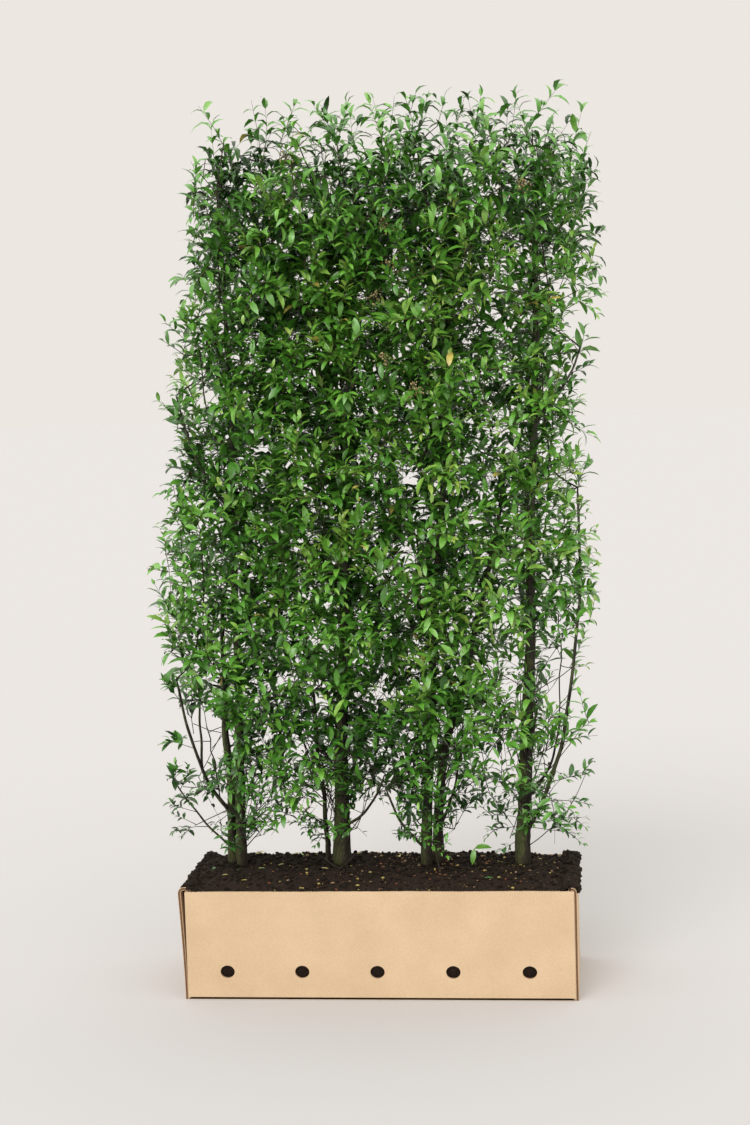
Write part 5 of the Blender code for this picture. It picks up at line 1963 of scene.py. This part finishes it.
def flat_curve(name, outlines, thickness, edge, turn, shift):
    """A board with softened edges from closed outlines, the first for its edge and the rest for holes."""
    curve = bpy.data.curves.new(name, "CURVE")
    curve.dimensions = "2D"
    curve.fill_mode = "BOTH"
    curve.extrude = thickness / 2 - edge
    curve.bevel_depth = edge
    curve.bevel_resolution = 1
    for outline in outlines:
        spline = curve.splines.new("POLY")
        spline.points.add(len(outline) - 1)
        for point, (a, b) in zip(spline.points, outline):
            point.co = (a, b, 0.0, 1.0)
        spline.use_cyclic_u = True
    holder = link_object(name, curve)
    graph = bpy.context.evaluated_depsgraph_get()
    graph.update()
    mesh = bpy.data.meshes.new_from_object(holder.evaluated_get(graph), depsgraph=graph)
    bpy.data.objects.remove(holder, do_unlink=True)
    mesh.transform(Matrix.Translation(shift) @ turn)
    return mesh


def inset_ring(outline, amount):
    """A closed outline with each point moved inwards, so that a rounded edge ends where the outline was."""
    middle_a = sum(a for a, _ in outline) / len(outline)
    middle_b = sum(b for _, b in outline) / len(outline)
    moved = []
    for a, b in outline:
        moved.append((a - math.copysign(amount, a - middle_a), b - math.copysign(amount, b - middle_b)))
    return moved


def wall_outline(half_x, top, seed, low):
    """A wall's outline with a slightly uneven upper edge."""
    outline = [(-half_x, low), (half_x, low)]
    for k in range(WALL_STEPS + 1):
        x = half_x - 2 * half_x * k / WALL_STEPS
        lift = WALL_WAVE * noise.noise(Vector((x * 7.0, seed, 0.0)))
        lift += WALL_FRAY * noise.noise(Vector((x * 60.0, seed, 3.0)))
        outline.append((x, top - WALL_WAVE + lift))
    return outline


def vent_outline(x):
    outline = []
    for i in range(VENT_SIDES):
        turn = 2 * math.pi * i / VENT_SIDES
        rough = 1 + VENT_FRAY * noise.noise(Vector((x * 50, math.cos(turn) * 4, math.sin(turn) * 4)))
        across = x + VENT_WIDTH / 2 * rough * math.cos(turn)
        outline.append((across, VENT_HEIGHT + VENT_TALL / 2 * rough * math.sin(turn)))
    return outline


def wave_ribbon(points, across, half_width, deep, height):
    """The wavy sheet between two liners, as a board's edge shows it, along a row of points."""
    vertices = []
    faces = []
    run = 0.0
    last = points[0]
    for i, (point, side) in enumerate(zip(points, across)):
        run += (point - last).length
        last = point
        swing = side * half_width * math.sin(2 * math.pi * run / FLUTE)
        vertices += [point + swing - deep, point + swing + height]
        if i:
            a = 2 * (i - 1)
            faces.append((a, a + 2, a + 3, a + 1))
    return vertices, faces


def mesh_of_lists(points, faces):
    mesh = bpy.data.meshes.new("board")
    mesh.from_pydata([tuple(point) for point in points], [], faces)
    mesh.update()
    return mesh


def joined_boards(name, parts):
    """One object from several meshes, each with its material's number: 0 for liner, 1 for cut edge."""
    work = bmesh.new()
    for mesh, slot in parts:
        before = len(work.faces)
        work.from_mesh(mesh)
        work.faces.ensure_lookup_table()
        for face in work.faces[before:]:
            face.material_index = slot
    joined = bpy.data.meshes.new(name)
    work.to_mesh(joined)
    work.free()
    for made in (cardboard_material, flute_material):
        joined.materials.append(made)
    return link_object(name, joined)


def dress_tray():
    """Front, back, base and corner tabs: two liners with a fluted sheet between them."""
    outer_x = TRAY_LENGTH / 2 - BOARD - TOUCH
    upright = Matrix.Rotation(math.pi / 2, 4, "X")
    core = BOARD - 2 * LINER
    parts = []
    for side in (-1, 1):
        middle = side * (TRAY_DEPTH / 2 - BOARD / 2)
        vents = [vent_outline(x) for x in VENT_X]
        for off, thickness, top, slot in (
            (side * (BOARD - LINER) / 2, LINER, TRAY_HEIGHT, 0),
            (-side * (BOARD - LINER) / 2, LINER, TRAY_HEIGHT - INNER_LOWER, 0),
            (0.0, core, TRAY_HEIGHT - CORE_LOWER, 1),
        ):
            edge = LINER_EDGE if slot == 0 else CORE_EDGE
            outline = wall_outline(outer_x - edge, top, 2.0 + side + off, edge)
            shift = Vector((0, middle + off, 0))
            parts.append((flat_curve("wall", [outline] + vents, thickness, edge, upright, shift), slot))
        steps = round(2 * outer_x / FLUTE * FLUTE_STEPS)
        points = []
        for k in range(steps + 1):
            points.append(Vector((-outer_x + 2 * outer_x * k / steps, middle, TRAY_HEIGHT - RIBBON_LOWER)))
        across = [Vector((0, 1, 0))] * len(points)
        ribbon = wave_ribbon(points, across, core / 2, UP * RIBBON_DEPTH, UP * 0.0)
        parts.append((mesh_of_lists(*ribbon), 1))
        near = side * (TRAY_DEPTH / 2 - BOARD)
        far = side * (TRAY_DEPTH / 2 - TAB_REACH)
        tab = [(near, TAB_FOOT), (far, TAB_FOOT), (far, TRAY_HEIGHT), (near, TRAY_HEIGHT)]
        turn = Matrix.Rotation(math.pi / 2, 4, "Z") @ upright
        for end in (-1, 1):
            shift = Vector((end * (outer_x - BOARD / 2), 0, 0))
            parts.append((flat_curve("tab", [tab], BOARD, TAB_EDGE, turn, shift), 0))
    half_y = TRAY_DEPTH / 2
    base = [(-outer_x, -half_y), (outer_x, -half_y), (outer_x, half_y), (-outer_x, half_y)]
    base = inset_ring(base, BASE_EDGE)
    parts.append((flat_curve("base", [base], BOARD, BASE_EDGE, Matrix(), Vector((0, 0, BOARD / 2))), 0))
    tray = joined_boards("tray_board", parts)
    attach(tray, "root")
    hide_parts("tray")


def end_path(side):
    """The middle line of an end board: up outside, over the corner tabs in a soft roll, and down inside."""
    flare = END_FLARE[side]
    outer = TRAY_LENGTH / 2 - BOARD / 2
    inner = TRAY_LENGTH / 2 - 2.5 * BOARD - 2 * TOUCH
    crest = TRAY_HEIGHT + BOARD / 2 + END_ROLL_RISE[side]
    path = []
    for k in range(RISE_STEPS + 1):
        part = k / RISE_STEPS
        path.append((outer + flare * part ** 1.5, (TRAY_HEIGHT - BOARD) * part))
    middle = (outer + flare + inner) / 2
    half = (outer + flare - inner) / 2
    for k in range(1, ROLL_STEPS):
        turn = math.pi * k / ROLL_STEPS
        z = TRAY_HEIGHT - BOARD + (crest - TRAY_HEIGHT + BOARD) * math.sin(turn) ** 0.7
        path.append((middle + half * math.cos(turn), z))
    for k in range(DROP_STEPS + 1):
        z = (TRAY_HEIGHT - BOARD) * (1 - k / DROP_STEPS) + (BOARD + TOUCH) * k / DROP_STEPS
        path.append((inner, z))
    return [Vector((side * x, 0.0, z)) for x, z in path]


def dress_end(name, side):
    """An end board as a bent sheet: two liners and, on its front and back edges, the flutes between them."""
    path = end_path(side)
    across = []
    for i in range(len(path)):
        ahead = (path[min(i + 1, len(path) - 1)] - path[max(i - 1, 0)]).normalized()
        across.append(Vector((ahead.z, 0.0, -ahead.x)) * side)
    parts = []
    half_y = TRAY_DEPTH / 2 - END_INSET
    columns = END_COLUMNS
    for low, high, slot, cut in (
        (BOARD / 2 - LINER, BOARD / 2, 0, 0.0),
        (-BOARD / 2, -BOARD / 2 + LINER, 0, 0.0),
        (-BOARD / 2 + LINER, BOARD / 2 - LINER, 1, END_CORE_INSET),
    ):
        ring = [point + out * high for point, out in zip(path, across)]
        ring += [point + out * low for point, out in zip(reversed(path), reversed(across))]
        ring = [Vector((point.x, point.y, max(point.z, 0.0))) for point in ring]
        points = []
        for j in range(columns + 1):
            y = (half_y - cut) * (2 * j / columns - 1)
            inner_y = y * (half_y - BOARD - 0.0006) / half_y
            for k, point in enumerate(ring):
                step = min(k, len(ring) - 1 - k)
                inside = step >= OUTSIDE_STEPS
                sway_x = END_SWAY * noise.noise(Vector((y * 9.0, step * 0.2, side)))
                points.append((point.x + sway_x, inner_y if inside else y, point.z))
        count = len(ring)
        faces = []
        for j in range(columns):
            for k in range(count):
                a = j * count + k
                b = j * count + (k + 1) % count
                faces.append((a, b, b + count, a + count))
        faces.append(tuple(range(count - 1, -1, -1)))
        faces.append(tuple(range(columns * count, (columns + 1) * count)))
        parts.append((mesh_of_lists(points, faces), slot))
    fine = []
    sides = []
    for before, after, out in zip(path[:OUTSIDE_STEPS], path[1:], across):
        steps = max(1, round((after - before).length / (FLUTE / FLUTE_STEPS)))
        for k in range(steps):
            fine.append(before.lerp(after, k / steps))
            sides.append(out)
    for face_y in (-1, 1):
        points = [point + Vector((0, face_y * (half_y - END_RIBBON_INSET), 0)) for point in fine]
        deep = Vector((0, face_y * END_RIBBON_DEPTH, 0))
        parts.append((mesh_of_lists(*wave_ribbon(points, sides, BOARD / 2 - LINER, deep, Vector())), 1))
    piece = joined_boards(name + "_board", parts)
    work = bmesh.new()
    work.from_mesh(piece.data)
    bmesh.ops.recalc_face_normals(work, faces=work.faces)
    work.to_mesh(piece.data)
    work.free()
    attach(piece, "root")
    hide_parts(name)


def new_material(name, colour, roughness, specular=0.5):
    made = bpy.data.materials.new(name)
    made.use_nodes = True
    shader = made.node_tree.nodes["Principled BSDF"]
    shader.inputs["Base Color"].default_value = (*colour, 1.0)
    shader.inputs["Roughness"].default_value = roughness
    shader.inputs["Specular IOR Level"].default_value = specular
    return made, made.node_tree, shader


def object_place(tree, stretch=(1.0, 1.0, 1.0)):
    """The surface's place on the object, in metres, stretched along each axis."""
    place = tree.nodes.new("ShaderNodeTexCoord")
    mapping = tree.nodes.new("ShaderNodeMapping")
    mapping.inputs["Scale"].default_value = stretch
    tree.links.new(place.outputs["Object"], mapping.inputs["Vector"])
    return mapping.outputs["Vector"]


def noise_node(tree, place, scale, detail=4.0, rough=0.55):
    made = tree.nodes.new("ShaderNodeTexNoise")
    made.inputs["Scale"].default_value = scale
    made.inputs["Detail"].default_value = detail
    made.inputs["Roughness"].default_value = rough
    tree.links.new(place, made.inputs["Vector"])
    return made.outputs["Fac"]


def ramp(tree, factor, stops):
    """Colours by a factor: each stop is a place from 0 to 1 and a colour."""
    made = tree.nodes.new("ShaderNodeValToRGB")
    made.color_ramp.elements[0].position = stops[0][0]
    made.color_ramp.elements[0].color = (*stops[0][1], 1.0)
    made.color_ramp.elements[1].position = stops[-1][0]
    made.color_ramp.elements[1].color = (*stops[-1][1], 1.0)
    for at, colour in stops[1:-1]:
        made.color_ramp.elements.new(at).color = (*colour, 1.0)
    tree.links.new(factor, made.inputs["Fac"])
    return made.outputs["Color"]


def mix(tree, factor, first, second, way="MIX"):
    """One colour laid over another; a factor or a colour may be a plain value or a socket."""
    made = tree.nodes.new("ShaderNodeMix")
    made.data_type = "RGBA"
    made.blend_type = way
    for socket, value in ((made.inputs[0], factor), (made.inputs[6], first), (made.inputs[7], second)):
        if isinstance(value, bpy.types.NodeSocket):
            tree.links.new(value, socket)
        elif isinstance(value, tuple):
            socket.default_value = (*value, 1.0)
        else:
            socket.default_value = value
    return made.outputs[2]


def mask(tree, factor, low, high, most=1.0):
    """Black up to one value of a factor, rising to white or a grey at another."""
    return ramp(tree, factor, ((low, (0.0, 0.0, 0.0)), (high, (most, most, most))))


def map_range(tree, value, first, last, most=1.0):
    """Nothing at one value of a socket, rising to the most at another."""
    made = tree.nodes.new("ShaderNodeMapRange")
    made.inputs["From Min"].default_value = first
    made.inputs["From Max"].default_value = last
    made.inputs["To Max"].default_value = most
    tree.links.new(value, made.inputs["Value"])
    return made.outputs["Result"]


def part_along(tree, vector, axis):
    """One of the three parts of a vector."""
    made = tree.nodes.new("ShaderNodeSeparateXYZ")
    tree.links.new(vector, made.inputs["Vector"])
    return made.outputs[axis]


def finish_material(tree, shader, colour, height, strength, distance):
    """Gives a material its colour, and the relief that a height makes."""
    made = tree.nodes.new("ShaderNodeBump")
    made.inputs["Strength"].default_value = strength
    made.inputs["Distance"].default_value = distance
    tree.links.new(height, made.inputs["Height"])
    tree.links.new(made.outputs["Normal"], shader.inputs["Normal"])
    tree.links.new(colour, shader.inputs["Base Color"])


def scaled(colour, factor):
    return tuple(min(part * factor, 1.0) for part in colour)


def make_leaf_material(number, colour):
    """A leaf's green with faint paler and darker patches, slightly uneven gloss and a soft grain."""
    made, tree, shader = new_material(f"leaf_{number}", colour, roughness=0.34, specular=0.75)
    place = object_place(tree)
    patches = noise_node(tree, place, scale=55.0, detail=3.0)
    shade = ramp(tree, patches, ((0.30, scaled(colour, 0.78)), (0.52, colour), (0.72, scaled(colour, 1.28))))
    grain = noise_node(tree, place, scale=420.0, detail=2.0)
    gloss = ramp(tree, grain, ((0.3, (0.27, 0.27, 0.27)), (0.7, (0.44, 0.44, 0.44))))
    tree.links.new(gloss, shader.inputs["Roughness"])
    finish_material(tree, shader, shade, grain, strength=0.25, distance=0.0006)
    return made


def make_bark_material():
    """Grey-brown bark: furrows, pale scars, moss on its left sides, painted shade on its right sides and a
    red-brown tint near the soil.
    """
    made, tree, shader = new_material("bark", (0.16, 0.13, 0.09), roughness=0.82, specular=0.3)
    place = object_place(tree)
    furrows = noise_node(tree, object_place(tree, (1.0, 1.0, 0.16)), scale=420.0, detail=5.0, rough=0.62)
    base = ramp(tree, furrows, (
        (0.30, (0.010, 0.008, 0.005)), (0.50, (0.042, 0.036, 0.023)), (0.72, (0.115, 0.104, 0.075)),
    ))
    scars = noise_node(tree, object_place(tree, (1.0, 1.0, 2.2)), scale=170.0, detail=2.0)
    base = mix(tree, mask(tree, scars, 0.66, 0.72), base, (0.20, 0.185, 0.145))
    lean = tree.nodes.new("ShaderNodeMath")
    lean.operation = "MULTIPLY_ADD"
    lean.inputs[1].default_value = -0.22
    facing = tree.nodes.new("ShaderNodeNewGeometry").outputs["Normal"]
    tree.links.new(part_along(tree, facing, "X"), lean.inputs[0])
    tree.links.new(noise_node(tree, place, scale=16.0, detail=4.0), lean.inputs[2])
    left = lean.outputs["Value"]
    moss_tone = ramp(tree, furrows, ((0.3, (0.026, 0.036, 0.008)), (0.7, (0.120, 0.145, 0.042))))
    base = mix(tree, mask(tree, left, 0.46, 0.64, most=0.80), base, moss_tone)
    # Painted shade: sides whose normal points along +X are darkened to about a quarter, as if the light came
    # from the left
    painted_shade_side = ramp(tree, left, ((0.34, (0.24, 0.21, 0.19)), (0.56, (1.0, 1.0, 1.0))))
    base = mix(tree, 1.0, base, painted_shade_side, "MULTIPLY")
    height = part_along(tree, place, "Z")
    base = mix(tree, map_range(tree, height, 0.40, 0.31, most=0.40), base, (0.040, 0.026, 0.014))
    base = mix(tree, map_range(tree, height, 0.75, 1.25, most=0.45), base, (0.150, 0.140, 0.112))
    finish_material(tree, shader, base, furrows, strength=0.7, distance=0.0016)
    return made


def make_twig_material(name, dark, light):
    """Thin bark, or a shoot's skin, with streaks along it."""
    made, tree, shader = new_material(name, light, roughness=0.7, specular=0.35)
    streaks = noise_node(tree, object_place(tree, (1.0, 1.0, 0.5)), scale=260.0, detail=3.0)
    shade = ramp(tree, streaks, ((0.32, dark), (0.68, light)))
    finish_material(tree, shader, shade, streaks, strength=0.4, distance=0.0006)
    return made


def make_soil_material(name, dark, light, fleck):
    """Moist crumbly compost: dark, with rough grain and scattered fibres of bark."""
    made, tree, shader = new_material(name, dark, roughness=0.95, specular=0.2)
    grain = noise_node(tree, object_place(tree), scale=190.0, detail=8.0, rough=0.7)
    shade = ramp(tree, grain, ((0.35, dark), (0.62, light)))
    fibres = noise_node(tree, object_place(tree, (1.0, 0.5, 1.0)), scale=330.0, detail=2.0)
    shade = mix(tree, mask(tree, fibres, 0.70, 0.74), shade, fleck)
    finish_material(tree, shader, shade, grain, strength=0.9, distance=0.004)
    return made


def make_cardboard_material():
    """Brown kraft liner: faint cloudy mottling, short fibres, smudges and the shadow of the flutes."""
    made, tree, shader = new_material("kraft", (0.62, 0.44, 0.26), roughness=0.78, specular=0.25)
    place = object_place(tree)
    clouds = noise_node(tree, place, scale=7.0, detail=5.0, rough=0.6)
    shade = ramp(tree, clouds, ((0.30, (0.620, 0.448, 0.282)), (0.70, (0.700, 0.520, 0.340))))
    fibres = noise_node(tree, object_place(tree, (0.35, 1.0, 1.0)), scale=620.0, detail=4.0, rough=0.7)
    flecks = ramp(tree, fibres, ((0.34, (0.80, 0.78, 0.74)), (0.60, (1.0, 1.0, 1.0))))
    shade = mix(tree, 0.75, shade, flecks, "MULTIPLY")
    dirt = noise_node(tree, place, scale=21.0, detail=6.0, rough=0.7)
    smudge = ramp(tree, dirt, ((0.62, (1.0, 1.0, 1.0)), (0.85, (0.74, 0.72, 0.70))))
    shade = mix(tree, 0.8, shade, smudge, "MULTIPLY")
    waves = tree.nodes.new("ShaderNodeTexWave")
    waves.inputs["Scale"].default_value = 20.4
    waves.inputs["Distortion"].default_value = 0.4
    tree.links.new(place, waves.inputs["Vector"])
    relief = mix(tree, 0.82, waves.outputs["Color"], fibres)
    finish_material(tree, shader, shade, relief, strength=0.22, distance=0.0007)
    return made


def make_flute_material():
    """The raw cut edge of the board: rougher and redder, with torn fibres."""
    made, tree, shader = new_material("cut_edge", (0.30, 0.17, 0.09), roughness=0.9, specular=0.2)
    torn = noise_node(tree, object_place(tree), scale=300.0, detail=6.0, rough=0.7)
    shade = ramp(tree, torn, ((0.30, (0.150, 0.078, 0.042)), (0.70, (0.400, 0.240, 0.130))))
    finish_material(tree, shader, shade, torn, strength=0.6, distance=0.001)
    return made


leaf_materials = [make_leaf_material(number, colour) for number, colour in enumerate(TONES)]
twig_materials = [
    make_twig_material("twig_brown", (0.010, 0.007, 0.005), (0.040, 0.027, 0.017)),
    make_twig_material("shoot_green", (0.050, 0.048, 0.018), (0.110, 0.105, 0.040)),
]
bark_material = make_bark_material()
soil_materials = [
    make_soil_material("compost", (0.008, 0.005, 0.0035), (0.032, 0.020, 0.013), (0.100, 0.062, 0.034)),
    make_soil_material("wet_compost", (0.006, 0.004, 0.003), (0.022, 0.014, 0.009), (0.07, 0.04, 0.02)),
]
bit_materials = [
    make_twig_material("bark_bit_tan", (0.160, 0.090, 0.045), (0.380, 0.250, 0.140)),
    make_twig_material("bark_bit_red", (0.110, 0.034, 0.016), (0.290, 0.105, 0.048)),
    make_twig_material("bark_bit_yellow", (0.300, 0.220, 0.050), (0.450, 0.360, 0.120)),
]
head_materials = [
    make_twig_material("seed_pale", (0.250, 0.200, 0.080), (0.480, 0.420, 0.220)),
    make_twig_material("seed_brown", (0.130, 0.080, 0.035), (0.300, 0.200, 0.090)),
]
cardboard_material = make_cardboard_material()
flute_material = make_flute_material()


def dress_heads(plants):
    """Small branched heads of dry flowers, each a tuft of beads on hair-thin stalks."""
    rng = random.Random(HEAD_SEED)
    tree, anchors = anchor_tree(plants)
    shape = lump_faces()
    points = []
    triangles = []
    tones = []
    for place in SEED_HEADS:
        target = Vector(place)
        anchor, index, _ = tree.find(target)
        rise = Vector((rng.uniform(-0.4, 0.4), math.copysign(0.2, target.y), 0.8)).normalized()
        tip = anchor + rise * HEAD_LENGTH
        twigs = anchors[index][1]["twigs"]
        twigs.append(([anchor, anchor.lerp(tip, 0.5), tip], [0.0011, 0.0009, 0.0005], 4, 1))
        for k in range(HEAD_BEADS):
            part = rng.uniform(0.15, 1.0)
            reach = HEAD_WIDTH * (1.15 - part)
            stray = Vector((rng.gauss(0, reach), rng.gauss(0, reach), rng.gauss(0, reach / 2)))
            centre = anchor.lerp(tip, part) + stray
            bead = lump(centre, rng.uniform(*BEAD_SIZE), 1.0, rng, rough=0.15)
            add_shape(points, triangles, bead, shape)
            tones += [rng.randrange(2)] * len(shape)
            if k % 2:
                twigs.append(([anchor.lerp(tip, part * 0.8), centre], [0.0005, 0.0004], 3, 1))
    heads = triangle_object("seed_heads", points, triangles, head_materials, tones)
    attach(heads, "root")


def make_stage():
    """A wide pale floor, an overcast sky that is brightest overhead, and two wide suns."""
    corners = [(-FLOOR_REACH, -FLOOR_REACH, 0), (FLOOR_REACH, -FLOOR_REACH, 0)]
    corners += [(FLOOR_REACH, FLOOR_REACH, 0), (-FLOOR_REACH, FLOOR_REACH, 0)]
    floor = mesh_of_lists(corners, [(0, 1, 2, 3)])
    floor.materials.append(new_material("floor_paper", FLOOR_COLOUR, roughness=0.95, specular=0.0)[0])
    thing = link_object("floor", floor)
    world = bpy.data.worlds.new("studio")
    world.use_nodes = True
    tree = world.node_tree
    height = part_along(tree, tree.nodes.new("ShaderNodeTexCoord").outputs["Generated"], "Z")
    shade = mix(tree, map_range(tree, height, ZENITH_FROM, 1.0), SKY_COLOUR, ZENITH_COLOUR)
    tree.links.new(shade, tree.nodes["Background"].inputs["Color"])
    bpy.context.scene.world = world
    for name, turn, strength, angle in SUNS:
        lamp = bpy.data.lights.new(name, "SUN")
        lamp.energy = strength
        lamp.angle = math.radians(angle)
        link_object(name, lamp).rotation_euler = [math.radians(part) for part in turn]
    bpy.context.scene.view_settings.view_transform = "Standard"


def place_camera():
    """The camera that was fitted to the photo."""
    yaw, pitch, roll = (math.radians(turn) for turn in (CAMERA_YAW, CAMERA_PITCH, CAMERA_ROLL))
    ahead = Vector((-math.sin(yaw) * math.cos(pitch), math.cos(yaw) * math.cos(pitch), -math.sin(pitch)))
    right = Vector((math.cos(yaw), math.sin(yaw), 0.0))
    up = right.cross(ahead)
    image_right = right * math.cos(roll) + up * math.sin(roll)
    image_up = up * math.cos(roll) - right * math.sin(roll)
    lens = bpy.data.cameras.new("camera")
    lens.sensor_width = FILM_SIDE
    lens.lens = CAMERA_FOCAL / PICTURE_TALL * FILM_SIDE
    lens.clip_end = CAMERA_SIGHT
    holder = link_object("camera", lens)
    columns = (image_right, image_up, -ahead)
    turn = Matrix([[column[row] for column in columns] for row in range(3)]).to_4x4()
    holder.matrix_world = Matrix.Translation(Vector(CAMERA_PLACE)) @ turn
    bpy.context.scene.camera = holder


make_stage()
place_camera()
limb_lines = {}
for limb in STEMS:
    limb_lines[limb] = stem_line(limb)
for limb in BOUGHS:
    limb_lines[limb] = bough_line(limb, limb_lines)
dress_limbs(limb_lines)
dress_tray()
dress_end("tray_end_left", -1)
dress_end("tray_end_right", 1)
soil_half_x, soil_half_y = dress_soil()
dress_ground(soil_half_x, soil_half_y)
build_plants(limb_lines)
